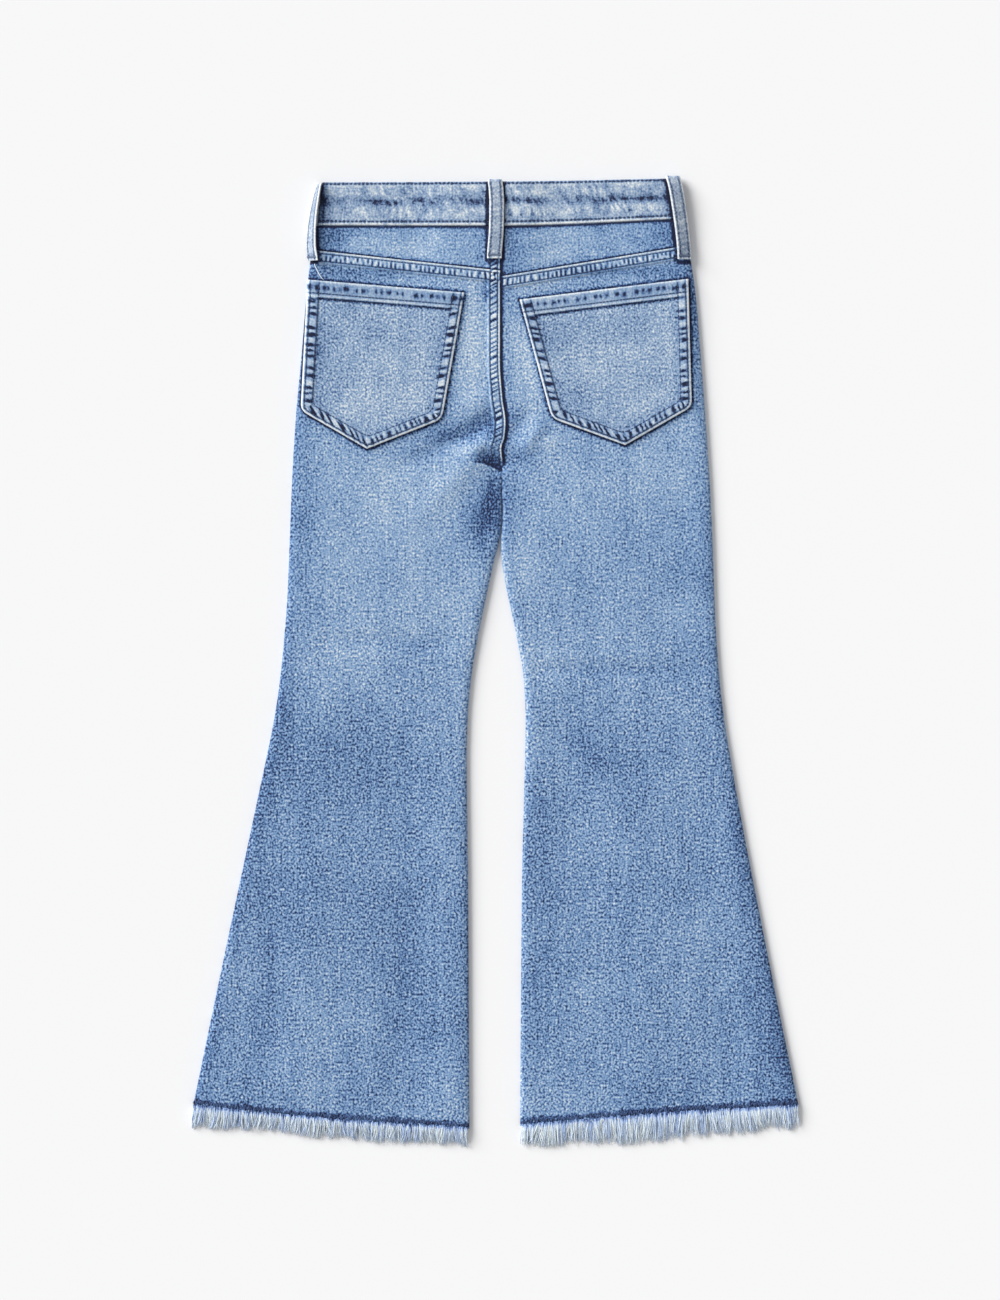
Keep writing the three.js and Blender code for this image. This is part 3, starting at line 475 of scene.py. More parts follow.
def coarse(count, step):
    return sorted(set(range(0, count, step)) | {count - 1})


def shell(name, outer, inner, tone, cloth, material, step=4, turned=False, grain=1.0):
    """A closed shell: a fine outer grid and a sparser inner one, joined round the rim."""
    count_r, count_c = outer.shape[:2]
    rows, columns = coarse(count_r, step), coarse(count_c, step)
    inner = inner[np.ix_(rows, columns)]
    offset = count_r * count_c
    index = np.arange(offset).reshape(count_r, count_c)
    inside = offset + np.arange(len(rows) * len(columns)).reshape(len(rows), len(columns))

    def quads(grid):
        return np.stack([grid[:-1, :-1], grid[1:, :-1], grid[1:, 1:], grid[:-1, 1:]], -1).reshape(-1, 4)

    faces = quads(index).tolist() + quads(inside)[:, ::-1].tolist()

    def rim(fine, sparse, marks):
        made = []
        for k in range(len(marks) - 1):
            a, b = marks[k], marks[k + 1]
            made += [[sparse[k], fine[i], fine[i + 1]] for i in range(a, b)]
            made.append([sparse[k], fine[b], sparse[k + 1]])
        return made

    edges = [
        (index[:, 0], inside[:, 0], rows, False),
        (index[:, -1], inside[:, -1], rows, True),
        (index[0], inside[0], columns, True),
        (index[-1], inside[-1], columns, False),
    ]
    for fine, sparse, marks, flip in edges:
        made = rim(fine.tolist(), sparse.tolist(), marks)
        faces += [face[::-1] for face in made] if flip else made
    if turned:
        faces = [face[::-1] for face in faces]
    points = np.concatenate([outer.reshape(-1, 3), inner.reshape(-1, 3)])
    tones = np.concatenate([tone.ravel(), np.full(len(rows) * len(columns), INNER_TONE)])
    cloths = np.concatenate([cloth.reshape(-1, 2), cloth[np.ix_(rows, columns)].reshape(-1, 2)])
    cloths = np.concatenate([cloths, np.zeros((len(cloths), 1))], axis=1)
    grain = np.broadcast_to(grain, tone.shape)
    grains = np.concatenate([grain.ravel(), grain[np.ix_(rows, columns)].ravel()])
    made = new_object(name, points, faces, {"tone": tones, "cloth": cloths, "grain": grains}, material)
    made.data.set_sharp_from_angle(angle=math.radians(50))
    return made


def roll_insets(roll, steps):
    return roll * (1 - np.cos(np.arange(steps + 1) / steps * np.pi / 2))


def panel_steps(from_first, count, from_last):
    """Steps across a panel: shares between two edges, with distances in from each edge."""
    shares = (np.arange(count) + 1) / (count + 1)
    share = np.concatenate([np.zeros(len(from_first)), shares, np.ones(len(from_last))])
    first = np.concatenate([from_first, np.full(count + len(from_last), from_first[-1])])
    last = np.concatenate([np.full(count + len(from_first), from_last[-1]), from_last[::-1]])
    return share, first, last


def panel_places(side, columns, rows, top_at, bottom_at):
    """The places (x, y) of a panel's grid, whose rows follow its top and bottom edges."""
    outward = OUTWARD[side]
    c_share, out, into = (v[None, :] for v in columns)
    r_share, down, rise = (v[:, None] for v in rows)
    x = np.full((r_share.shape[0], c_share.shape[1]), float(outer_edge(side, 0)) / 2)
    for _ in range(9):
        y = mix(top_at(x) - down, bottom_at(x) + rise, r_share)
        x = mix(outer_edge(side, y) - outward * out, inner_edge(side, y) + outward * into, c_share)
    return x, y


def inside_of(side, face, up, thickness):
    """The inner face of a wall: its plain outer face moved in, straight across at the side seams."""
    normal = grid_normals(face, up)
    outward = OUTWARD[side]
    normal[:, 0] = (outward, 0, 0)
    upright = leg_share(face[:, -1, 1])
    normal[:, -1, 0] = -outward * upright
    normal[:, -1, 1] = 0
    normal[:, -1, 2] = up * (1 - upright)
    normal[[0, -1], :, 1] = 0
    return face - unit(normal) * thickness


def lap(d, s, seed, pitch=3.1, strong=1.0, slant=0.1):
    """Rise and tone of a lapped seam with two stitch rows, d in from its folded edge and s along it."""
    inside = smooth(-0.1, 0.4, d) * (1 - smooth(LAP_WIDTH - 0.4, LAP_WIDTH + 0.9, d))
    rows = bump(d - STITCH_ROWS[0], 0.55) + bump(d - STITCH_ROWS[1], 0.55)
    between = smooth(STITCH_ROWS[0], STITCH_ROWS[0] + 1.3, d)
    between *= (1 - smooth(STITCH_ROWS[1] - 1.1, STITCH_ROWS[1] + 0.2, d))
    wave = 0.8 * rungs(s + slant * d, pitch, seed) + 0.45 * ripple(s + slant * d, 1.31 * pitch, seed + 3)
    wear_and_shading = 0.8 + 0.2 * cloud(s, d, 14, seed + 5)
    rise = LAP_RISE * inside - 0.35 * rows * inside + 0.25 * wave * between
    # Partly wear and partly a painted highlight: the pale line along the folded edge. Between the stitch
    # rows the puckers get darker hollows and paler ridges, partly the dye's fading and partly painted shade
    # and highlight.
    tone = 0.54 * bump(d - 0.55, 0.85) * wear_and_shading
    dark, pale = smooth(0.05, 0.75, -wave), smooth(0, 0.7, wave)
    tone = tone + strong * (0.17 + 0.36 * pale - 1.0 * dark) * between * wear_and_shading + 0.06 * between
    tone -= 0.42 * rows * (0.8 + 0.4 * ripple(s, 2.5, seed + 9)) * inside
    tone += 0.16 * bump(d - LAP_WIDTH - 0.1, 0.7) * wear_and_shading
    return rise, np.where(d < -2, 0, tone)


def seam_grain(d):
    """How much of the cloth's grain shows through a seam's own marks."""
    return 1 - 0.6 * smooth(-1, 1, d) * (1 - smooth(LAP_WIDTH - 1, LAP_WIDTH + 1.5, d))


def marks(wave):
    """Puckers: the hollows turn darker by more than the ridges turn paler, partly from the dye's fading and
    partly as painted shade and highlight.
    """
    return np.where(wave < 0, 1.6 * wave, 0.8 * wave)


def wash_and_shade(x, y):
    """The tone of the cloth, from 0, dark indigo, to 1, nearly white: the dye's fading, with painted shade
    and highlight on the folds near the crotch from the table above.
    """
    tone = mix(0.434, 0.542, smooth(-110, 85, y + 14 * cloud(x, y, 60, 3)))
    tone = tone + 0.01 * smooth(170, 260, y) + 0.055 * cloud(x, y, 70, 13)
    for fade_x, fade_y, half_x, half_y, amount in zip(*FADES_AND_SHADES.values()):
        tone += amount * np.exp(-(((x - fade_x) / half_x) ** 2) - ((y - fade_y) / half_y) ** 2)
    return tone + 0.04 * cloud(x, y, 34, 11) + 0.02 * cloud(x, 0.3 * y, 12, 12)


def unevenness(x, y):
    """The small waves of cloth that lies loosely."""
    broad = 0.22 * cloud(x, 0.7 * y, 46, 21) + 0.10 * cloud(x, 0.6 * y, 19, 22)
    return broad + 0.03 * cloud(x, y, 7, 23)


def loop_shadow(x, y):
    """How much painted shadow falls on the cloth close beside the belt loops and under their lower ends."""
    total = 0 * x
    for key, sign in (("side_left", 1), ("back_left", -1), ("back_right", 1), ("side_right", -1)):
        away = sign * (x - curve_at(LOOP_EDGES, "y", key, y))
        total += smooth(-1.2, -0.4, away) * (1 - smooth(1.0, 2.5, away))
    total *= smooth(297.5, 299, y)
    for low, high in LOOP_ENDS:
        across = smooth(low - 0.6, low + 0.4, x) * (1 - smooth(high - 0.4, high + 0.6, x))
        total = np.maximum(total, across * bump(y - LOOP_ENDS_Y, 1.5))
    return total


def back_detail(side, x, y, face):
    """What is added to the back's plain face at a place, and the tone there."""
    upright = back_turn(side, x, y)
    rise = (fold_height(CREASES, x, y) + unevenness(x, y)) * smooth(0.2, 1, upright)
    # Painted shade: darker along the outer edge, where the cloth rolls down.
    tone = wash_and_shade(x, y) - 0.10 * bump(np.abs(x - outer_edge(side, y)), 9)
    tone += 0.10 * fold_height(CREASES, x, y)
    from_inner = np.abs(x - inner_edge(side, y))
    seat_share = smooth(CROTCH, CROTCH + 8, y)
    if side == "left":
        seat_rise, seat_tone = lap(from_inner, y, 1.3, 3.7, 0.9, 0.5)
        seat_tone += 0.12 * cloud(x, y, 4, 43) * smooth(1, 2, from_inner) * (from_inner < LAP_WIDTH)
        seat_share *= mix(1, smooth(150, 176, y), smooth(1.5, 3, from_inner))
    else:
        seat_rise = 0 * x
        # Painted shadow on the right panel beside the seat seam, where the left panel laps over it.
        seat_tone = -(0.74 + 0.1 * smooth(210, 180, y)) * bump(from_inner - 0.6, 1.35)
        seat_tone -= 0.08 * bump(from_inner, 4)
    rise += seat_rise * seat_share
    tone += seat_tone * seat_share
    if face == "leg":
        below = yoke_seam_at(side, x) - y
        yoke_rise, yoke_tone = lap(below, np.abs(x), 2.1 if side == "left" else 4.4)
        both = smooth(0, 1, np.clip(1.2 - below / LAP_WIDTH, 0, 1))
        rise += np.maximum(yoke_rise - np.where(seat_rise > 0, seat_rise * seat_share, 0), 0)
        tone += yoke_tone * mix(1, 0.8, both)
        above_hem = y - hem_at(side, x) + 0.9 * cloud(x, 0, 5, 32) + 0.35 * cloud(x, 0, 2.1, 34)
        stay = 1 - smooth(4.3, 6.0, above_hem)
        rise += (0.12 + 0.1 * cloud(x, y, 2.2, 33)) * stay
        tone -= stay * (0.29 + 0.28 * cloud(x, y, 2.1, 31) + 0.1 * cloud(x, 0, 11, 35))
        top, _, _, inside = pocket_edges(side, x, y)
        around = -np.minimum(top, inside)
        # Painted shadow on the leg just outside the pocket's edges.
        tone = tone - 0.55 * bump(around - 0.6, 1.0) - 0.07 * bump(around, 5)
        depth, shade = recess(x, y)
        rise += depth
        tone += shade
        # Below the crotch, a paler right inner edge, partly wear and partly a painted highlight, and painted
        # shadow along the left leg's inner edge, which lies under it.
        inseam = (1 - seat_share) * bump(from_inner - 1.2, 1.0)
        tone += (0.10 if side == "right" else -0.05) * inseam
    else:
        # Painted shadow on the yoke just above the leg's folded top edge and just below the waistband.
        above = y - yoke_seam_at(side, x)
        tone = tone - 0.58 * bump(above - 0.4, 0.9) - 0.07 * bump(above, 4)
        below_band = band_bottom_at(x) - y
        tone = tone - 0.58 * bump(below_band - 0.7, 1.0) - 0.09 * bump(below_band, 5)
        tone = tone + 0.05 * cloud(0.45 * x, y - 0.1 * x, 7, 41) + 0.03 * cloud(x, y, 9, 42)
    # Painted shadow on the cloth beside and under the belt loops.
    return rise * smooth(0, 0.6, upright), tone - 0.62 * loop_shadow(x, y)


def recess(x, y):
    """The deep fold left of the crotch: the cloth sinks under a lip that runs down to the seam. Its tone is
    painted shade under the lip and a painted highlight along the lip's edge.
    """
    above = y - curve_at(LIP, "x", "y", x)
    across = smooth(-25, -9, x) * (1 - smooth(3.2, 4.2, x))
    reach = mix(5, 10, smooth(-22, -2, x))
    under = smooth(-0.6, 0.5, above) * np.exp(-((np.clip(above, 0, None) / reach) ** 2)) * across
    edge = bump(above + 1.1, 0.8) * across
    return -0.45 * under + 0.2 * edge, -0.52 * under + 0.12 * edge


def dense_then(first, first_end, growing, end):
    """Steps that start fine and grow until they reach a limit."""
    steps = list(np.arange(0, first_end, first))
    step = first
    while steps[-1] < end:
        step = min(step * growing, 2.2)
        steps.append(steps[-1] + step)
    return np.array(steps)


def back_leg(side, material):
    lap_steps = dense_then(0.42, LAP_WIDTH + 1.6, 1.25, 16)
    columns = panel_steps(roll_insets(BACK_ROLL, 8), 74, lap_steps)
    seat_rows = np.concatenate([lap_steps, lap_steps[-1] + np.arange(1, 138) * 1.0])
    rows = panel_steps(seat_rows, 215, np.arange(0, 6.1, 0.6))
    x, y = panel_places(
        side, columns, rows, lambda v: yoke_seam_at(side, v), lambda v: hem_at(side, v)
    )
    face = back_face(side, x, y)
    rise, tone = back_detail(side, x, y, "leg")
    outer = np.stack([x, y, face + rise], -1)
    inner = inside_of(side, np.stack([x, y, face], -1), 1, CLOTH)
    inner[..., 2] = np.minimum(inner[..., 2], outer[..., 2] - 0.4 * back_turn(side, x, y))
    calm = seam_grain(yoke_seam_at(side, x) - y)
    if side == "left":
        calm = np.minimum(calm, seam_grain(np.abs(x - inner_edge(side, y))) + smooth(176, 150, y))
    calm *= mix(1, 0.86, smooth(-60, 90, y))
    cloth = np.stack([x, y], -1)
    name, turned = f"cloth_back_leg_{side}", side == "right"
    return shell(name, outer, inner, tone, cloth, material, turned=turned, grain=calm)


def yoke(side, material):
    lap_steps = dense_then(0.5, LAP_WIDTH + 1.6, 1.3, 14)
    columns = panel_steps(roll_insets(WAIST_ROLL, 7), 90, lap_steps)
    rows = panel_steps(np.arange(0, 3, 0.5), 34, np.arange(0, 3, 0.5))
    top_at, bottom_at = lambda v: band_bottom_at(v) - SEAM_GAP, lambda v: yoke_seam_at(side, v) + SEAM_GAP
    x, y = panel_places(side, columns, rows, top_at, bottom_at)
    face = back_face(side, x, y)
    rise, tone = back_detail(side, x, y, "yoke")
    outer = np.stack([x, y, face + rise], -1)
    inner = inside_of(side, np.stack([x, y, face], -1), 1, CLOTH)
    calm = 0.72 * (seam_grain(np.abs(x - inner_edge(side, y))) if side == "left" else 1.0)
    cloth = np.stack([x, y], -1)
    name, turned = f"cloth_yoke_{side}", side == "right"
    return shell(name, outer, inner, tone, cloth, material, turned=turned, grain=calm)


def fly_distance(x, y):
    """How far a place lies inside the fly's outer stitch row, which curves in to the seam at its end."""
    curved = FLY_RADIUS - np.hypot(x - FLY_SEAM_X, y - FLY_BEND)
    return np.where(y > FLY_BEND, x - FLY_STITCH_X, curved)


def fly_runs():
    """The fly's two stitch rows on the underside."""
    runs = []
    for row in FLY_ROWS:
        radius = FLY_RADIUS - row
        down = np.arange(float(front_waist_at(FLY_STITCH_X)) - 2, FLY_BEND, -0.6)
        angle = np.arange(0, np.pi / 2 - 0.05, 0.6 / radius)
        x = FLY_SEAM_X - radius * np.concatenate([np.ones(len(down)), np.cos(angle)])
        y = np.concatenate([down, FLY_BEND - radius * np.sin(angle)])
        z = np.maximum(front_face("left", x, y), UNDERSIDE) + fold_height(UNDER_CREASES, x, y)
        runs.append(np.stack([x, y, z], -1))
    return runs


def front_leg(side, material):
    columns = panel_steps(roll_insets(FRONT_ROLL, 6), 44, roll_insets(FRONT_ROLL, 6))
    rows = panel_steps(np.arange(0, 4, 0.8), 170, np.arange(0, 4.9, 0.8))
    x, y = panel_places(
        side, columns, rows, lambda v: front_waist_at(v) - SEAM_GAP, lambda v: hem_at(side, v)
    )
    face = front_face(side, x, y)
    inner = inside_of(side, np.stack([x, y, face], -1), -1, CLOTH)
    trough = fold_height(UNDER_CREASES, x, y)
    outer = np.stack([x, y, np.maximum(face, UNDERSIDE) + trough * turn(side, x, y, 12)], -1)
    tone = wash_and_shade(x + 400, y) + 0.03 - 0.12 * trough
    for row in FLY_ROWS:
        tone -= 0.3 * bump(fly_distance(x, y) - row, 0.9) * (x < 1)
    tone -= 0.28 * (1 - smooth(4.2, 5.4, y - hem_at(side, x)))
    tone -= 0.12 * bump(np.abs(x - inner_edge(side, y)), 1.2)
    cloth = np.stack([x, y], -1)
    return shell(f"cloth_front_leg_{side}", outer, inner, tone, cloth, material, turned=side == "left")


def pocket_edges(side, x, y):
    """How far a place lies inside a back pocket's top, its sides, its lower edges, and all but the top."""
    corners = POCKETS[side]
    distances = []
    for (x0, y0), (x1, y1) in zip(corners, corners[1:] + corners[:1]):
        across = (x1 - x0) * (y - y0) - (y1 - y0) * (x - x0)
        distances.append(-across / math.hypot(x1 - x0, y1 - y0))
    top, right, low_right, low_left, left = distances
    sides, lows = np.minimum(left, right), np.minimum(low_left, low_right)
    from_sides, from_lows = (np.clip(POCKET_CORNER - v, 0, None) for v in (sides, lows))
    corner = POCKET_CORNER - np.hypot(from_sides, from_lows)
    edge = np.where((sides < POCKET_CORNER) & (lows < POCKET_CORNER), corner, np.minimum(sides, lows))
    return top, sides, lows, edge


def rounding(distance):
    """How far a rounded corner lifts an edge, at a distance in from the side."""
    left = np.clip(POCKET_CORNER - distance, 0, None)
    return POCKET_CORNER - np.sqrt(POCKET_CORNER**2 - left**2)


def pocket_detail(side, x, y):
    """Thickness of a pocket's cloth at a place, with its turned edges and puckers, and its tone."""
    top, sides, lows, edge = pocket_edges(side, x, y)
    low = lows < sides
    along = np.where(low, 0.9 * x + 0.4 * y, y)
    seed = 6.2 if side == "left" else 8.7
    turned = 1 - smooth(POCKET_TURN, POCKET_TURN + 1.2, edge)
    hem = 1 - smooth(POCKET_HEM - 0.2, POCKET_HEM + 0.7, top)
    thick = POCKET_CLOTH + POCKET_FOLD * np.maximum(turned, hem)
    thick = thick - 0.55 * bump(edge, 0.55) - 0.4 * bump(top, 0.5)
    wave = np.where(low, rungs(along, 4.4, seed), rungs(along + 0.1 * edge, 6.3, seed))
    wave = 0.85 * wave + 0.45 * ripple(along + 0.4 * edge, 2.9, seed + 1)
    puckered = smooth(1.4, 2.6, edge) * (1 - smooth(6.4, 9, edge)) * smooth(9, 15, top)
    rows = bump(edge - 2.1, 0.6) + 0.5 * bump(edge - 8, 0.55) * smooth(0.5, 2, top)
    thick = thick - 0.25 * rows + 0.24 * wave * puckered
    tone = 0.565 + 0.085 * cloud(x, y, 27, seed) + 0.05 * cloud(x, y, 11, seed + 9)
    # Partly wear and partly a painted highlight: the pale line along the folded edges. The puckers inside it
    # get darker hollows and paler ridges, partly the dye's fading and partly painted shade and highlight.
    tone += 0.46 * bump(edge - 0.45, 0.85)
    beside = 4.7 + 1.3 * cloud(along, 0, 5, seed + 8)
    wear_and_shading = 0.8 + 0.3 * cloud(along, edge, 17, seed + 10)
    dark = smooth(0.05, 0.65, -wave) * bump(edge - beside, 2.7)
    pale = smooth(0, 0.7, wave) * bump(edge - 5.0, 3.2)
    strength = wear_and_shading * smooth(9, 15, top) * (edge < 10.5)
    tone = tone + (0.05 + 0.32 * pale - 1.05 * dark) * strength - 0.46 * rows
    nicks = smooth(0.3, 0.9, ripple(along, 4.3, seed + 11)) * smooth(9, 15, top)
    tone -= 0.42 * nicks * bump(edge - 8.8 - 0.8 * cloud(along, 1, 4, seed), 1.1)
    tone = tone - 0.05 * bump(edge - 5, 3) * smooth(9, 15, top) - 0.06 * bump(edge - 10.5, 2.4)
    # The hem across the top, with its dashes, its pale top edge and fold, which are partly wear and partly a
    # painted highlight, and the painted shadow under its fold
    dash = 0.8 * rungs(x, 6.1, seed + 2) + 0.5 * ripple(x, 2.9, seed + 3)
    thick = thick + 0.12 * dash * bump(top - 5.4, 2.2) - 0.2 * bump(top - 9.6, 0.5)
    tone = tone + hem * (0.05 + 0.04 * cloud(x, y, 5, seed + 4)) + 0.26 * bump(top - 0.5, 0.8)
    knots = 0.14 + 0.56 * smooth(-0.3, 0.8, -dash) - 0.12 * smooth(0.1, 0.9, dash)
    tone = tone - knots * bump(top - 5.2 - 0.7 * cloud(x, 0, 6, seed), 1.9) - 0.3 * bump(top - 9.6, 0.6)
    tone += 0.2 * bump(top - POCKET_HEM + 0.7, 0.7)
    # Painted shadow under the hem's fold.
    tone -= 0.56 * bump(top - POCKET_HEM - 0.9, 1.0) * smooth(5, 9, edge)
    corner = bump(np.minimum(np.abs(edge - 8), np.abs(top - 5)) - 0.5, 1.2) * (edge < 9) * (top < 9)
    tone -= 0.22 * corner * (edge < 8.5)
    soft = 0.12 * cloud(x, y, 30, seed + 6) + 0.05 * cloud(x, y, 9, seed + 7)
    return thick + soft * smooth(8, 16, edge), tone


def pocket_height(side, x, y):
    return back_face(side, x, y) + POCKET_CLEAR + pocket_detail(side, x, y)[0]


def pocket(side, material):
    top_left, top_right, low_right, point, low_left = POCKETS[side]

    def line_x(a, b, y):
        return mix(a[0], b[0], (y - a[1]) / (b[1] - a[1]))

    def line_y(a, b, x):
        return mix(a[1], b[1], (x - a[0]) / (b[0] - a[0]))

    fine = np.arange(0, 10.2, 0.5)
    share, from_left, from_right = panel_steps(fine, 72, fine)
    r_share, down, rise = panel_steps(np.arange(0, 14.4, 0.5), 66, fine)
    share, from_left, from_right = share[None, :], from_left[None, :], from_right[None, :]
    r_share, down, rise = r_share[:, None], down[:, None], rise[:, None]
    x = np.full((r_share.shape[0], share.shape[1]), 0.5 * (top_left[0] + top_right[0]))
    y = np.full_like(x, 0.5 * (top_left[1] + low_left[1]))
    for _ in range(9):
        bottom = np.where(x < point[0], line_y(low_left, point, x), line_y(point, low_right, x))
        left, right = line_x(top_left, low_left, y), line_x(top_right, low_right, y)
        bottom += rounding(np.clip(np.minimum(x - left, right - x), 0, None))
        y = mix(line_y(top_left, top_right, x) - down, bottom + rise, r_share)
        left, right = line_x(top_left, low_left, y), line_x(top_right, low_right, y)
        x = mix(left + from_left, right - from_right, share)
    thick, tone = pocket_detail(side, x, y)
    base = np.stack([x, y, back_face(side, x, y)], -1)
    step = 0.1
    slope_x = (back_face(side, x + step, y) - back_face(side, x - step, y)) / (2 * step)
    slope_y = (back_face(side, x, y + step) - back_face(side, x, y - step)) / (2 * step)
    normal = unit(np.stack([-slope_x, -slope_y, np.ones_like(x)], -1))
    inner = base + normal * POCKET_CLEAR
    outer = base + normal * (POCKET_CLEAR + thick)[..., None]
    top, _, _, edge = pocket_edges(side, x, y)
    calm = np.minimum(seam_grain(edge), 0.45 + 0.55 * smooth(POCKET_HEM - 1, POCKET_HEM + 2, top))
    cloth = np.stack([x, y], -1)
    return shell(f"cloth_back_pocket_{side}", outer, inner, tone, cloth, material, grain=calm)


def band_path():
    """The middle of the waistband's cloth once round: x, z and which face it lies on."""
    bend = 1.1
    front = FRONT_LIFT + BAND_CLOTH / 2
    back = front + 2 * bend
    left, right = SIDES["left"][1] + 1, SIDES["right"][1] - 1
    inset = bend + BAND_CLOTH / 2
    start, end = right - inset, left + inset
    xs, zs, faces = [], [], []

    def add(x, z, face):
        xs.extend(np.atleast_1d(x).tolist())
        zs.extend((np.zeros_like(np.atleast_1d(x), float) + z).tolist())
        faces.extend([face] * np.size(x))

    under = np.linspace(UNDERLAP_END, start, 110)
    add(under, front + (BAND_CLOTH + SEAM_GAP) * (1 - smooth(8, 27, under)), "front")
    round_right = np.radians(np.linspace(-90, 90, 9)[1:-1])
    add(start + bend * np.cos(round_right), front + bend + bend * np.sin(round_right), "side")
    over = np.linspace(start, end, 400)
    add(over, back + BAND_RISE_AT_FLY * fly_share(over), "back")
    round_left = np.radians(np.linspace(90, -90, 9)[1:-1])
    add(end - bend * np.cos(round_left), front + bend + bend * np.sin(round_left), "side")
    add(np.linspace(end, OVERLAP_END, 90), front, "front")
    return np.array(xs), np.array(zs), np.array(faces)


def band_frame():
    """The band's path with the way out of its face, the length along it and its top and lower edge."""
    xs, zs, faces = band_path()
    dx, dz = np.gradient(xs), np.gradient(zs)
    length = np.hypot(dx, dz)
    s = np.concatenate([[0], np.cumsum(np.hypot(np.diff(xs), np.diff(zs)))])
    return xs, zs, faces, dz / length, -dx / length, s, *band_edges(xs, faces != "front")


def band_edges(xs, on_back):
    """The waistband's top and lower edge: straight across the back and dipping at the front."""
    bottom = np.where(on_back, band_bottom_at(xs), front_waist_at(xs))
    return bottom + band_top_at(xs) - band_bottom_at(xs), bottom


def narrowed(x, y):
    """The waistband is a little narrower along its top edge."""
    return x * (1 - BAND_TAPER * np.clip((y - SIDES["y"][1]) / BAND_HEIGHT, 0, 1.1))


def band_detail(down, s, seed):
    """Rise and tone of the waistband at a distance down from its top edge, s along it."""
    up = BAND_HEIGHT - down
    slanted = s + 0.5 * down + 2.2 * cloud(s, down, 6.3, seed + 12)
    wave = ripple(slanted, 8.1, seed) + 0.5 * ripple(slanted, 4.3, seed + 1)
    upper = ripple(slanted, 7.4, seed + 6)
    fine = ripple(s, 2.5, seed + 2)
    dash = 0.5 + 0.5 * np.cos(2 * np.pi * (s - 0.5 * BAND_STITCH) / BAND_PITCH)
    smudge = cloud(s, 2.6 * down, 13, seed + 7)
    rise = -0.28 * bump(down - 1.3, 0.5) - 0.28 * bump(up - 2.9, 0.5)
    rise = rise - 0.30 * bump(down - 15, 3.4) + 0.16 * wave * bump(down - 15, 7)
    rise = rise + 0.08 * fine * bump(down - 15, 12) - 0.5 * bump(down, 0.5) - 0.5 * bump(up, 0.5)
    tone = 0.575 + 0.13 * cloud(s, down, 4.2, seed + 4) + 0.08 * cloud(s, 3 * down, 13, seed + 5)
    middle = bump(down - 14.8 - 1.6 * cloud(s, 0, 30, seed) - 0.9 * cloud(s, 0, 8, seed + 13), 2.9)
    tone -= (0.23 + 0.24 * smudge - 0.16 * marks(wave)) * middle
    tone += (0.12 + 0.15 * marks(wave)) * bump(down - 22.5, 3.6)
    tone += (0.07 + 0.15 * marks(upper)) * bump(down - 7, 3.8)
    spots = smooth(0.35, 0.9, ripple(s, 13.3, seed + 8))
    tone -= 0.34 * spots * bump(down - 24.5 - cloud(s, 1, 17, seed + 9), 1.9)
    tone = tone - (0.12 + 0.62 * dash) * bump(down - 1.2, 0.85) + 0.16 * bump(down - 3.0, 0.9)
    tone -= (0.14 + 0.62 * dash) * bump(up - 3.2, 0.85)
    # Partly wear and partly a painted highlight: the pale lower edge.
    tone += (0.42 + 0.08 * cloud(s, 0, 9, seed + 3)) * bump(up - 1, 1.0)
    return rise, tone


def waistband(material):
    xs, zs, faces, away_x, away_z, s, top, bottom = band_frame()
    downs = np.concatenate([np.arange(0, 3, 0.3), np.arange(3, 28.4, 0.75), np.arange(28.5, 33.1, 0.3)])
    share = (downs / downs[-1])[:, None]
    y = mix(top, bottom, share)
    down = share * BAND_HEIGHT
    rise, tone = band_detail(down, s, BAND_SEED)
    half = BAND_CLOTH / 2 * (1 - 0.5 * bump(down, 0.5) - 0.5 * bump((1 - share) * BAND_HEIGHT, 0.5))
    reach = half + rise * (1 - 0.6 * (faces == "front"))

    def placed(distance):
        x = narrowed(xs + away_x * distance, y)
        return np.stack([x, y, zs + away_z * distance], -1)

    # Painted shade at both ends of the band, where it turns round.
    rim = 0.34 * bump(xs - SIDES["left"][1] - 3, 5) + 0.12 * bump(xs - SIDES["right"][1], 7)
    tone -= rim
    # Painted shadow on the back of the band beside the belt loops.
    loops = sum(bump(np.maximum(np.abs(xs - at) - 5.8, 0), 2.3) for at in (-1, 135))
    close = loop_shadow(narrowed(xs, y), y)
    tone -= (0.3 * loops + 0.62 * close) * (faces != "front")
    cloth = np.stack([np.broadcast_to(s, y.shape), y], -1)
    return shell("cloth_waistband", placed(reach), placed(-half), tone, cloth, material, grain=0.62)


def strap_frame(places):
    """Middle points of a strap's inner face, with its directions across and out, at close steps."""
    s = lengths_along(np.stack([places[key] for key in "xyz"], -1))
    fine = np.linspace(0, s[-1], int(s[-1] / 0.5) + 1)
    rows = {"s": s, **places}
    middle = np.stack([curve_at(rows, "s", key, fine) for key in "xyz"], -1)
    lean = np.radians(curve_at(rows, "s", "lean", fine))
    along = unit(np.gradient(middle, axis=0))
    across = np.stack([np.cos(lean), np.zeros_like(lean), -np.sin(lean)], -1)
    return fine, middle, across, unit(np.cross(along, across))


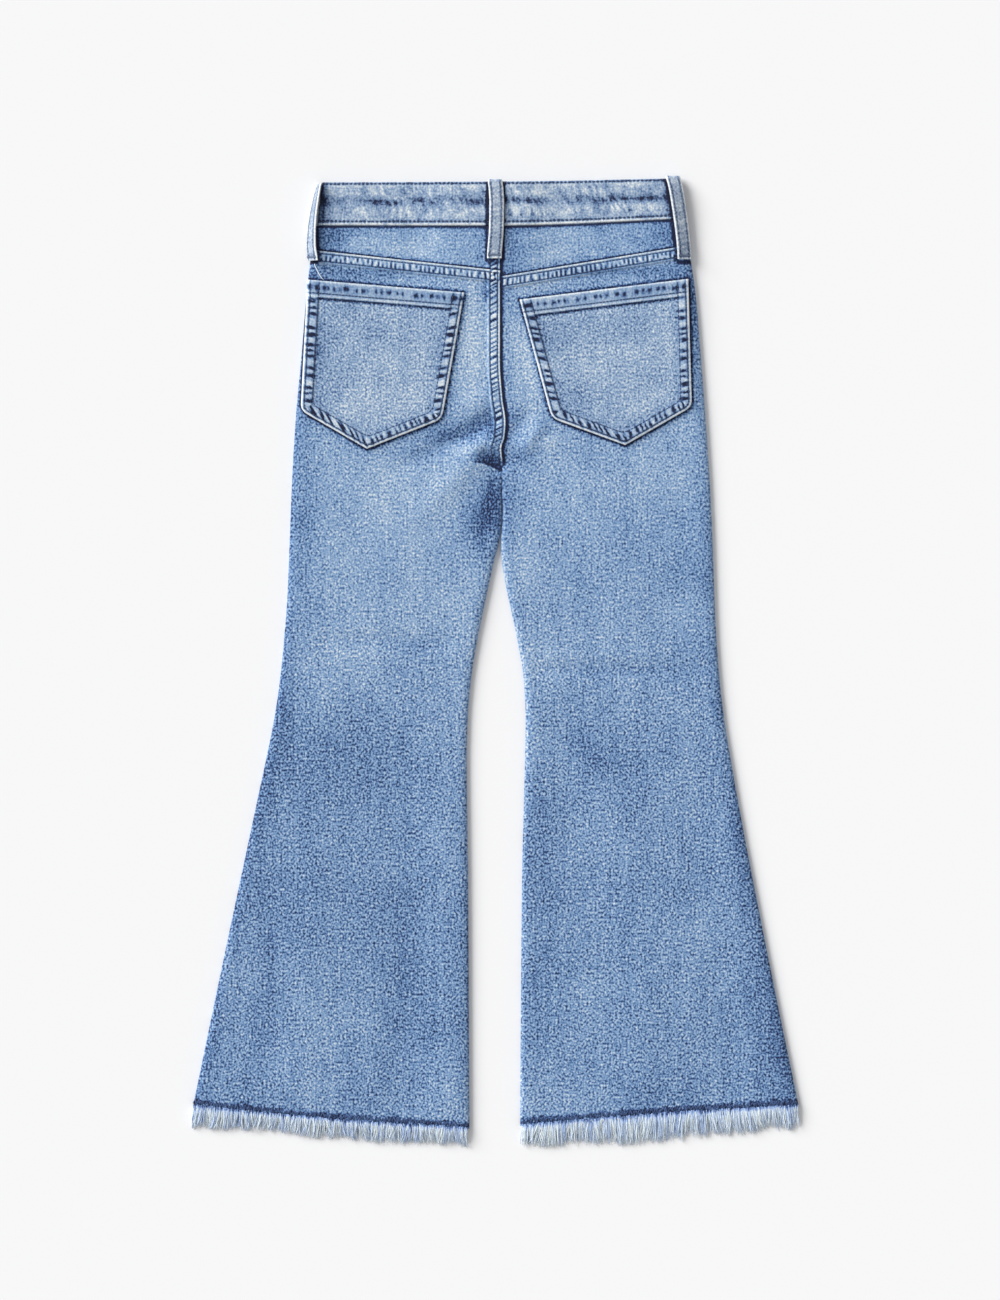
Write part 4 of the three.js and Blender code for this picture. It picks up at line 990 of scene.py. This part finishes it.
def belt_loop(name, places, thickness, material, seed):
    s, middle, across, out = strap_frame(places)
    half = LOOP_WIDTH / 2
    shares = np.concatenate([[-1, -0.975, -0.93], np.linspace(-0.88, 0.88, 19), [0.93, 0.975, 1]])
    u = shares[None, :] * half
    edge = half - np.abs(u)
    ends = np.minimum(s, s[-1] - s)[:, None]
    wave = ripple(s[:, None] + 0.2 * u, 4.1, seed)
    thick = thickness * mix(0.45, 1, smooth(0, 0.8, edge))
    thick = thick - 0.16 * bump(edge - 1.7, 0.45) + 0.06 * wave * bump(edge - 3.2, 1.6)
    tack = bump(s[-1] - s[:, None] - TACK_FROM_END, 0.8)
    thick -= 0.25 * tack * smooth(0.2, 1, edge)
    tone = 0.62 + 0.42 * bump(edge - 0.4, 0.85) - 0.46 * bump(edge - 1.95, 0.75) + 0.07 * wave
    tone = tone + 0.3 * bump(ends, 1.0) - 0.5 * tack * smooth(0.4, 1, edge)
    tone += 0.09 * cloud(u, s[:, None], 5, seed)
    inner = middle[:, None] + across[:, None] * u[..., None]
    outer = inner + out[:, None] * thick[..., None]
    cloth = np.stack(np.broadcast_arrays(u, s[:, None]), -1)
    return shell(f"cloth_{name}", outer, inner, tone, cloth, material, step=3, turned=True)


def front_loop_places(side):
    x = FRONT_LOOP_X[side]
    top = float(band_edges(x, False)[0])
    bottom = float(front_waist_at(x)) - FRONT_LOOP_PAST
    return table("x y z lean", (x, top, 0, 0), (x, mix(top, bottom, 0.5), 0, 0), (x, bottom, 0, 0))


def tubes(name, paths, radii, sides, material, tones=None):
    """Thin threads: each path is a list of points, with a radius at each, closed at both ends."""
    paths, radii = np.asarray(paths, float), np.asarray(radii, float)
    count, steps = paths.shape[:2]
    along = unit(np.gradient(paths, axis=1))
    helper = np.where(np.abs(along[..., 2:]) > 0.8, (1.0, 0, 0), (0, 0, 1.0))
    across = unit(np.cross(along, helper))
    out = np.cross(along, across)
    angle = np.arange(sides) / sides * 2 * np.pi
    ring = (
        paths[:, :, None]
        + radii[:, :, None, None] * np.cos(angle)[None, None, :, None] * across[:, :, None]
        + radii[:, :, None, None] * np.sin(angle)[None, None, :, None] * out[:, :, None]
    )
    index = np.arange(count * steps * sides).reshape(count, steps, sides)
    follow = np.roll(index, -1, axis=2)
    quads = np.stack([index[:, :-1], follow[:, :-1], follow[:, 1:], index[:, 1:]], -1).reshape(-1, 4)
    faces = quads[:, ::-1].tolist()
    faces += index[:, 0].tolist() + index[:, -1, ::-1].tolist()
    tone = np.zeros((count, 1)) if tones is None else np.asarray(tones).reshape(count, -1)
    attributes = {"tone": np.repeat(np.broadcast_to(tone, (count, steps)), sides)}
    return new_object(name, ring.reshape(-1, 3), faces, attributes, material)


def points_at(at, s, run):
    """The points of a run at lengths along it."""
    return np.stack([np.interp(at, s, run[:, i]) for i in range(3)], -1)


def stitches(runs, pitch=STITCH_PITCH, length=STITCH_LENGTH, radius=STITCH_RADIUS, up=1):
    """Stitches along runs of points on the cloth, each as a short thread that dips into it at both ends."""
    paths, radii = [], []
    for run in runs:
        s = lengths_along(run)
        for k in range(int((s[-1] - length) / pitch) + 1):
            at = k * pitch + length * STITCH_AT
            points = points_at(at, s, run)
            points[:, 2] += up * radius * np.array([-1.1, 0.1, 0.55, 0.1, -1.1])
            paths.append(points)
            radii.append(radius * STITCH_FORM)
    return paths, radii


def sew(name, runs, material, **sizes):
    paths, radii = stitches(runs, **sizes)
    return tubes(name, paths, radii, 5, material)


def leg_surface(side, x, y, face):
    rise, _ = back_detail(side, x, y, face)
    return back_face(side, x, y) + rise


def seam_rows(side, face, place):
    """Two stitch rows on a seam. place gives x and y at a row's distance from the seam."""
    return [np.stack([x, y, leg_surface(side, x, y, face)], -1) for x, y in map(place, STITCH_ROWS)]


def yoke_runs(side):
    """The two stitch rows along the top of a leg."""
    start = float(outer_edge(side, 305)) - OUTWARD[side] * 2.2
    end = float(inner_edge(side, 285)) + OUTWARD[side] * 0.8
    x = np.linspace(start, end, 240)
    return seam_rows(side, "leg", lambda row: (x, yoke_seam_at(side, x) - row))


def seat_runs(face):
    """The two stitch rows down the seat seam, on the left leg or on the left yoke."""
    seam = yoke_seam_at("left", 0)
    spans = {"leg": (seam - 1, CROTCH + 8, 260), "yoke": (band_bottom_at(0) - 1, seam + 1, 60)}
    y = np.linspace(*spans[face])
    return seam_rows("left", face, lambda row: (inner_edge("left", y) - row, y))


def inset_outline(corners, inset):
    """A pocket's corners moved in by a distance, by crossing the lines moved in from its edges."""
    lines = []
    for (x0, y0), (x1, y1) in zip(corners, corners[1:] + corners[:1]):
        length = math.hypot(x1 - x0, y1 - y0)
        normal = ((y1 - y0) / length, -(x1 - x0) / length)
        lines.append((normal, normal[0] * x0 + normal[1] * y0 + inset))
    moved = []
    for (a, p), (b, q) in zip(lines[-1:] + lines[:-1], lines):
        cross = a[0] * b[1] - a[1] * b[0]
        moved.append(((p * b[1] - q * a[1]) / cross, (q * a[0] - p * b[0]) / cross))
    return moved


def softened(points, half):
    """A run of points with its corners rounded by averaging each with its neighbours."""
    padded = np.concatenate([np.repeat(points[:1], half, 0), points, np.repeat(points[-1:], half, 0)])
    total = np.cumsum(np.concatenate([np.zeros((1, 2)), padded]), axis=0)
    return (total[2 * half + 1 :] - total[: -2 * half - 1]) / (2 * half + 1)


def pocket_runs(side):
    """Two stitch rows round a pocket's sides and point, and two along its hem."""
    corners = POCKETS[side]
    runs = []
    for inset in (2.1, 8.0):
        corner = inset_outline(corners, inset)
        first, last = np.array(corner[1]), np.array(corner[0])
        if inset > 5:
            first += (first - corner[2]) / np.linalg.norm(first - corner[2]) * 6
            last += (last - corner[4]) / np.linalg.norm(last - corner[4]) * 6
        route = [first, corner[2], corner[3], corner[4], last]
        points = []
        for a, b in zip(route[:-1], route[1:]):
            a, b = np.array(a), np.array(b)
            count = int(np.linalg.norm(b - a) / 0.6)
            points += [mix(a, b, t) for t in np.linspace(0, 1, count, endpoint=False)]
        points = softened(np.array(points), 9)
        z = pocket_height(side, points[:, 0], points[:, 1])
        runs.append(np.column_stack([points, z]))
    a, b = (np.array(c) for c in inset_outline(corners, 1.2)[:2])
    points = np.linspace(a + (1.4, 0), b - (1.4, 0), 200)
    points[:, 1] -= 8.4
    runs.append(np.column_stack([points, pocket_height(side, points[:, 0], points[:, 1])]))
    return runs


def segments_of(run, radius):
    """Each straight stretch of a run as a thread that bows up between its ends."""
    paths, radii = [], []
    for a, b in zip(run[:-1], run[1:]):
        t = np.array([0, 0.2, 0.5, 0.8, 1])[:, None]
        points = a + (b - a) * t
        points[:, 2] += radius * np.array([-0.4, 0.5, 0.8, 0.5, -0.4])
        paths.append(points)
        radii.append(radius * np.array([0.7, 1, 1, 1, 0.7]))
    return paths, radii


def band_runs():
    """Stitch rows along both edges of the waistband, all round."""
    xs, zs, faces, away_x, away_z, s, top, bottom = band_frame()
    runs = []
    for down in (1.2, BAND_HEIGHT - 3):
        rise, _ = band_detail(down, s, BAND_SEED)
        reach = BAND_CLOTH / 2 + rise * (1 - 0.6 * (faces == "front")) + 0.1
        y = mix(top, bottom, down / BAND_HEIGHT)
        x = narrowed(xs + away_x * reach, y)
        runs.append((np.stack([x, y, zs + away_z * reach], -1), s, away_x, away_z))
    return runs


def sew_band(material):
    """The waistband's stitches stand out from its face, whichever way that faces."""
    paths, radii = [], []
    for run, s, away_x, away_z in band_runs():
        for k in range(int((s[-1] - BAND_STITCH) / BAND_PITCH) + 1):
            at = k * BAND_PITCH + BAND_STITCH * STITCH_AT
            points = points_at(at, s, run)
            lift = STITCH_RADIUS * np.array([-1.1, 0, 0.4, 0, -1.1])
            points[:, 0] += lift * np.interp(at, s, away_x)
            points[:, 2] += lift * np.interp(at, s, away_z)
            paths.append(points)
            radii.append(STITCH_RADIUS * STITCH_FORM)
    return tubes("thread_waistband", paths, radii, 5, material)


def sew_loop(name, places, thickness, material):
    """Two stitch rows along a belt loop, and a bar tack at its lower end."""
    s, middle, across, out = strap_frame(places)
    paths, radii = [], []

    def on_loop(at, u, lift):
        at = np.asarray(at, float)
        u, lift = np.broadcast_to(u, at.shape), np.broadcast_to(lift, at.shape)
        origin, sideways, outwards = (points_at(at, s, v) for v in (middle, across, out))
        return origin + sideways * u[:, None] + outwards * (thickness - 0.08 + lift)[:, None]

    for u in (-3.7, 3.7):
        for k in range(int((s[-1] - 8) / STITCH_PITCH)):
            at = 3 + k * STITCH_PITCH + STITCH_LENGTH * STITCH_AT
            paths.append(on_loop(at, u, 0.24 * np.array([-1.1, 0, 0.3, 0, -1.1])))
            radii.append(0.24 * STITCH_FORM)
    for k in range(13):
        u = mix(-4.6, 4.6, k / 12)
        at = s[-1] - TACK_FROM_END + 0.9 * np.array([-1, -0.6, 0, 0.6, 1])
        slant = 0.12 * np.array([-1, -0.6, 0, 0.6, 1])
        paths.append(on_loop(at, u + slant, 0.26 * np.array([-1.2, -0.1, 0, -0.1, -1.2])))
        radii.append(0.3 * np.array([0.6, 1, 1, 1, 0.6]))
    return tubes(f"thread_{name}", paths, radii, 5, material)


def fringe(side, face, threads, material):
    """The raw hem: cotton threads that run out of the cloth's edge and fall to the surface."""
    rng = np.random.default_rng({"left": 11, "right": 12}[side] + (0 if face == "back" else 40))
    outward = OUTWARD[side]
    start = float(outer_edge(side, -340)) - outward * 1.4
    end = float(inner_edge(side, -340)) + outward * 1.4
    u = (np.arange(threads) + rng.uniform(-0.4, 0.4, threads)) / threads
    x = mix(start, end, np.clip(u, 0, 1))
    y = hem_at(side, x) + 0.3
    if face == "back":
        z = back_face(side, x, y) - rng.uniform(0.25, CLOTH - 0.05, threads)
        over = rng.uniform(0, 1, threads) < 0.34
        y = np.where(over, y + rng.uniform(0, 1, threads) ** 1.6 * 1.3, y)
        z = np.where(over, leg_surface(side, x, y, "leg") + 0.1, z)
    else:
        z = np.maximum(front_face(side, x, y), 0.2) + rng.uniform(0.15, CLOTH - 0.2, threads)
    clump = cloud(x, 0, 3.4, 51) * 0.6 + cloud(x, 0, 9, 52) * 0.7
    full = y - curve_at(FRINGE_END[side], "x", "y", x)
    reach = full * np.clip(0.93 + 0.17 * clump + rng.normal(0, 0.11, threads), 0.4, 1.16)
    short = rng.uniform(0, 1, threads) < 0.3
    reach = np.where(short, reach * rng.uniform(0.35, 0.85, threads), reach)
    sway = 3.2 * cloud(x, 3, 3.2, 53) + 1.8 * cloud(x, 3, 17, 55) + rng.normal(0, 1.5, threads)
    curl = rng.normal(0, 0.45, threads)
    loose = rng.uniform(0, 1, threads)
    floor_gap = 0.35 + 1.3 * loose + (1.1 * rng.uniform(0, 1, threads) if face == "back" else 0)
    rest = np.minimum(z, floor_gap)
    t = np.array([0, 0.08, 0.18, 0.36, 0.6, 0.82, 1])[None, :]
    swing = curl[:, None] * np.sin(2.3 * np.pi * t + 6 * u[:, None]) * t
    px = x[:, None] + sway[:, None] * t**1.4 + swing
    py = y[:, None] - reach[:, None] * t
    pz = mix(z[:, None], rest[:, None], smooth(0.22, 1, t))
    pz += 0.5 * (loose[:, None] - 0.3) * np.sin(np.pi * t)
    low, high = min(start, end) - 1.2, max(start, end) + 1.2
    px = np.clip(px, low, high)
    radius = rng.uniform(0.22, 0.4, threads)[:, None] * np.array([1, 1, 1, 0.95, 0.9, 0.75, 0.35])
    pz = np.maximum(pz, radius + 0.05)
    tones = 0.5 + rng.uniform(-1, 1, threads) * 0.75 + 0.8 * cloud(x, 9, 1.7, 54)
    root = rng.uniform(0.0, 0.16, threads)[:, None]
    tones = tones[:, None] - 2.2 * (1 - smooth(root, root + 0.1, t)) * (face == "back")
    paths = np.stack([px, py, pz], -1)
    return tubes(f"fringe_threads_{face}_{side}", paths, radius, 4, material, tones)


def loose_thread(material):
    """A thread end that lies loose between the left belt loop and the pocket."""
    x = np.array([-137.2, -136.4, -135.2, -134.2, -133.0, -131.4, -130.2])
    y = np.array([296.6, 294.4, 292.2, 290.0, 287.8, 285.6, 284.6])
    z = leg_surface("left", x, y, "leg") + 0.35
    radii = 0.36 * np.array([0.6, 1, 1, 1, 1, 0.9, 0.5])
    return tubes("thread_loose", [np.stack([x, y, z], -1)], [radii], 6, material, [0.9])


def hem_stitching(side, face, material):
    """The dark overlocking just above a raw hem."""
    outward = OUTWARD[side]
    start = float(outer_edge(side, -338)) - outward * 1.2
    end = float(inner_edge(side, -345)) + outward * 1.0
    steps = int(abs(end - start) / 1.1)
    x = np.linspace(start, end, steps)
    sign = np.where(np.arange(steps) % 2, 1, -1)
    rng = np.random.default_rng(71 if side == "left" else 72)
    wander = 0.5 * cloud(x, 1, 6, 73) + 0.35 * cloud(x, 1, 2.3, 74)
    y = hem_at(side, x) + 2.9 + wander + sign * rng.uniform(0.9, 2.6, steps)
    x += rng.normal(0, 0.5, steps)
    if face == "back":
        z, radius = leg_surface(side, x, y, "leg") + 0.05, 0.34
    else:
        z, radius = np.maximum(front_face(side, x, y), UNDERSIDE) + 0.12, 0.16
    paths, radii = segments_of(np.stack([x, y, z], -1), radius)
    tones = rng.uniform(-0.6, 1, len(paths))
    return tubes(f"thread_hem_{face}_{side}", paths, radii, 4, material, tones)


def add_node(tree, kind, sockets=None, **settings):
    """A shader node with its settings, and its sockets set to values or linked from other nodes."""
    node = tree.nodes.new(f"ShaderNode{kind}")
    for key, value in settings.items():
        setattr(node, key, value)
    for key, value in (sockets or {}).items():
        if isinstance(value, bpy.types.NodeSocket):
            tree.links.new(value, node.inputs[key])
        else:
            node.inputs[key].default_value = value
    return node


def stored(tree, name, socket="Fac"):
    """A value that is kept at the points of the mesh."""
    return add_node(tree, "Attribute", attribute_name=name).outputs[socket]


def maths(tree, operation, a, b, use_clamp=False):
    return add_node(tree, "Math", {0: a, 1: b}, operation=operation, use_clamp=use_clamp).outputs[0]


def noise(tree, vector, stretch, detail=2.0, rough=0.55):
    """Noise in the cloth's own millimetres, from about -0.5 to 0.5. stretch is the grain's size each way."""
    sizes = (1 / stretch[0], 1 / stretch[1], 1)
    scaled = add_node(tree, "VectorMath", {0: vector, 1: sizes}, operation="MULTIPLY").outputs[0]
    sockets = {"Scale": 1, "Detail": detail, "Roughness": rough, "Vector": scaled}
    return maths(tree, "SUBTRACT", add_node(tree, "TexNoise", sockets).outputs[0], 0.5)


def object_noise(tree, scale, detail):
    place = add_node(tree, "TexCoord").outputs["Object"]
    return add_node(tree, "TexNoise", {"Scale": scale, "Detail": detail, "Vector": place}).outputs[0]


def twill(tree, vector):
    """The fine diagonal lines of denim."""
    sockets = {"Angle": math.radians(62), "Vector": vector}
    turned = add_node(tree, "VectorRotate", sockets, rotation_type="Z_AXIS").outputs[0]
    sockets = {"Scale": 0.36, "Distortion": 1.6, "Detail": 1.5, "Detail Scale": 1.2, "Vector": turned}
    return maths(tree, "SUBTRACT", add_node(tree, "TexWave", sockets).outputs[1], 0.5)


def relief(tree, shader, height, strength, depth):
    node = add_node(tree, "Bump", {"Strength": strength, "Distance": depth, "Height": height})
    tree.links.new(node.outputs[0], shader.inputs["Normal"])


def tone_ramp(tree, tone, grey):
    """Indigo from dark to nearly white, with a share of its colour taken out."""
    ramp = add_node(tree, "ValToRGB", {0: tone})
    stops = [
        (0.00, (0.008, 0.014, 0.050)),
        (0.15, (0.024, 0.052, 0.155)),
        (0.30, (0.076, 0.163, 0.358)),
        (0.43, (0.172, 0.304, 0.534)),
        (0.57, (0.264, 0.405, 0.625)),
        (0.72, (0.415, 0.545, 0.710)),
        (0.86, (0.620, 0.715, 0.800)),
        (1.00, (0.850, 0.890, 0.910)),
    ]
    while len(ramp.color_ramp.elements) < len(stops):
        ramp.color_ramp.elements.new(0.5)
    for element, (position, colour) in zip(ramp.color_ramp.elements, stops):
        element.position = position
        even = 0.25 * colour[0] + 0.65 * colour[1] + 0.1 * colour[2]
        element.color = (*(mix(value, even, grey) for value in colour), 1)
    return ramp.outputs[0]


def principled(name, roughness, sheen=0.0, metallic=0.0):
    material = bpy.data.materials.new(name)
    material.use_nodes = True
    shader = material.node_tree.nodes["Principled BSDF"]
    shader.inputs["Roughness"].default_value = roughness
    shader.inputs["Metallic"].default_value = metallic
    shader.inputs["Specular IOR Level"].default_value = 0.2
    shader.inputs["Sheen Weight"].default_value = sheen
    shader.inputs["Sheen Roughness"].default_value = 0.6
    return material, material.node_tree, shader


def denim(name, contrast=1.0, grey=0.0):
    """Faded denim: a tone stored in the cloth, grain, slubs and twill over it, and a ramp of indigo."""
    material, tree, shader = principled(name, 0.9, sheen=0.12)
    vector = stored(tree, "cloth", "Vector")
    grain = noise(tree, vector, (1.55, 1.75), detail=1.7, rough=0.45)
    slub = noise(tree, vector, (1.4, 14), detail=2)
    weft = noise(tree, vector, (11, 1.3), detail=1)
    patch = noise(tree, vector, (15, 24), detail=3)
    streak = noise(tree, vector, (4.5, 90), detail=2)
    lines = twill(tree, vector)
    tone = stored(tree, "tone")
    speckle = maths(tree, "MULTIPLY", grain, stored(tree, "grain"))
    grains = ((speckle, 2.0), (slub, 0.34), (weft, 0.2), (patch, 0.2), (streak, 0.2), (lines, 0.08))
    for value, amount in grains:
        tone = maths(tree, "ADD", tone, maths(tree, "MULTIPLY", value, amount * contrast))
    tree.links.new(tone_ramp(tree, tone, grey), shader.inputs["Base Color"])
    height = maths(tree, "ADD", maths(tree, "MULTIPLY", lines, 0.5), grain)
    height = maths(tree, "ADD", height, maths(tree, "MULTIPLY", slub, 0.6))
    relief(tree, shader, height, 0.55, 0.0005)
    return material


def thread(name, dark, pale, root=None):
    """Cotton thread: a colour between two by the tone stored in each thread, with a little noise."""
    material, tree, shader = principled(name, 0.85, sheen=0.1)
    speckle = object_noise(tree, 900, 2)
    value = maths(tree, "ADD", maths(tree, "MULTIPLY", stored(tree, "tone"), 0.5), speckle)
    value = maths(tree, "ADD", maths(tree, "MULTIPLY", value, 0.6), 0.4, use_clamp=True)
    blend = add_node(tree, "ValToRGB", {0: value})
    elements = blend.color_ramp.elements
    elements[0].color = (*(root or dark), 1)
    elements.new(0.4).color = (*dark, 1)
    elements[2].color = (*pale, 1)
    tree.links.new(blend.outputs[0], shader.inputs["Base Color"])
    relief(tree, shader, speckle, 0.4, 0.0002)
    return material


def old_brass():
    """Dull brass with darker hollows and fine scratches."""
    material, tree, shader = principled("old_brass", 0.42, metallic=0.9)
    scratches = object_noise(tree, 600, 6)
    ramp = add_node(tree, "ValToRGB", {0: scratches})
    ramp.color_ramp.elements[0].color = (0.16, 0.11, 0.05, 1)
    ramp.color_ramp.elements[1].color = (0.50, 0.38, 0.20, 1)
    tree.links.new(ramp.outputs[0], shader.inputs["Base Color"])
    relief(tree, shader, scratches, 0.3, 0.0001)
    return material


def floor_material():
    material, _, shader = principled("pale_floor", 0.9)
    shader.inputs["Base Color"].default_value = (0.93, 0.93, 0.935, 1)
    return material


def settle(piece, slot, *nodes):
    """A piece rides on the one body and stands for its nodes. Its slot is not used."""
    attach(piece, "root")
    if nodes:
        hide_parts(*nodes)
    return piece


# Photograph's frame: its middle and height on the cloth, in the tables' millimetres
PHOTO_MIDDLE = (2.0, 7.1)
PHOTO_HEIGHT = 975
CAMERA_DISTANCE = 7
SENSOR = 36

# The pale floor, in metres
FLOOR_HALF = 6
FLOOR_BELOW = 0.0002


def add_camera():
    camera = bpy.data.cameras.new("camera")
    camera.sensor_width = SENSOR
    camera.lens = SENSOR / (PHOTO_HEIGHT * MM / CAMERA_DISTANCE)
    camera.clip_end = 20
    made = add_object("camera", camera)
    made.location = (PHOTO_MIDDLE[0] * MM + SHIFT.x, PHOTO_MIDDLE[1] * MM + SHIFT.y, CAMERA_DISTANCE)
    bpy.context.scene.camera = made


def add_light(name, direction, angle, strength):
    """A soft light that shines from a direction, evenly over the whole floor."""
    lamp = bpy.data.lights.new(name, "SUN")
    lamp.energy = strength
    lamp.angle = math.radians(angle)
    made = add_object(name, lamp)
    made.location = direction
    made.rotation_mode = "QUATERNION"
    made.rotation_quaternion = (-Vector(direction)).to_track_quat("-Z", "Y")


def add_studio():
    mesh = bpy.data.meshes.new("floor")
    corners = [(FLOOR_HALF * a, FLOOR_HALF * b, 0) for a, b in ((-1, -1), (1, -1), (1, 1), (-1, 1))]
    mesh.from_pydata(corners, [], [(0, 1, 2, 3)])
    mesh.materials.append(floor_material())
    floor = add_object("floor", mesh)
    floor.location.z = -FLOOR_BELOW
    add_light("key", (-1.8, 1.4, 1.25), 36, 3.7)
    world = bpy.data.worlds.new("studio")
    world.use_nodes = True
    world.node_tree.nodes["Background"].inputs[0].default_value = (1, 1, 1, 1)
    world.node_tree.nodes["Background"].inputs[1].default_value = 0.44
    bpy.context.scene.world = world
    bpy.context.scene.view_settings.view_transform = "Standard"


add_camera()
add_studio()

BODY_DENIM = denim("denim", contrast=0.9)
POCKET_DENIM = denim("denim_pocket", contrast=0.8, grey=0.12)
BAND_DENIM = denim("denim_band", contrast=0.85, grey=0.22)
LOOP_DENIM = denim("denim_loop", contrast=0.48, grey=0.42)
SEAM_THREAD = thread("seam_thread", (0.022, 0.036, 0.085), (0.07, 0.10, 0.19))
TACK_THREAD = thread("tack_thread", (0.09, 0.13, 0.22), (0.26, 0.33, 0.45))
HEM_THREAD = thread("hem_thread", (0.008, 0.018, 0.07), (0.09, 0.16, 0.36))
FRINGE_THREAD = thread("fringe_thread", (0.33, 0.50, 0.86), (0.88, 0.96, 1.0), (0.02, 0.05, 0.18))

for side in OUTWARD:
    leg = settle(back_leg(side, BODY_DENIM), "denim", f"back_leg_{side}")
    runs = yoke_runs(side) + (seat_runs("leg") if side == "left" else [])
    seam = settle(sew(f"thread_back_leg_{side}", runs, SEAM_THREAD), "denim")
    hem = settle(hem_stitching(side, "back", HEM_THREAD), "denim")
    loose = [settle(loose_thread(FRINGE_THREAD), "fringe")] if side == "left" else []
    threads = settle(fringe(side, "back", 1500, FRINGE_THREAD), "fringe", f"fringe_back_{side}")

    front = settle(front_leg(side, BODY_DENIM), "denim", f"front_leg_{side}")
    front_hem = settle(hem_stitching(side, "front", HEM_THREAD), "denim")
    front_threads = settle(fringe(side, "front", 700, FRINGE_THREAD), "fringe", f"fringe_front_{side}")
    if side == "left":
        fly = sew("thread_fly", fly_runs(), SEAM_THREAD, radius=0.14, up=-1)
        settle(fly, "denim")

    top = settle(yoke(side, BODY_DENIM), "denim", f"yoke_{side}")
    if side == "left":
        settle(sew("thread_yoke_left", seat_runs("yoke"), SEAM_THREAD), "denim")

    patch = settle(pocket(side, POCKET_DENIM), "worn_denim", f"back_pocket_{side}")
    patch_seam = settle(sew(f"thread_pocket_{side}", pocket_runs(side), SEAM_THREAD), "worn_denim")

    places = front_loop_places(side)
    loop = settle(
        belt_loop(f"belt_loop_front_{side}", places, FRONT_LOOP_CLOTH, LOOP_DENIM, 2.2),
        "worn_denim",
        f"belt_loop_front_{side}",
    )

band = settle(waistband(BAND_DENIM), "worn_denim", "waistband")
band_thread = settle(sew_band(SEAM_THREAD), "worn_denim")

for seed, (name, places) in enumerate(LOOPS.items()):
    loop = settle(belt_loop(name, places, LOOP_CLOTH, LOOP_DENIM, 1.5 + seed), "worn_denim", name)
    loop_thread = settle(sew_loop(name, places, LOOP_CLOTH, TACK_THREAD), "worn_denim")

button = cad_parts["button"]
button.data.materials.clear()
button.data.materials.append(old_brass())
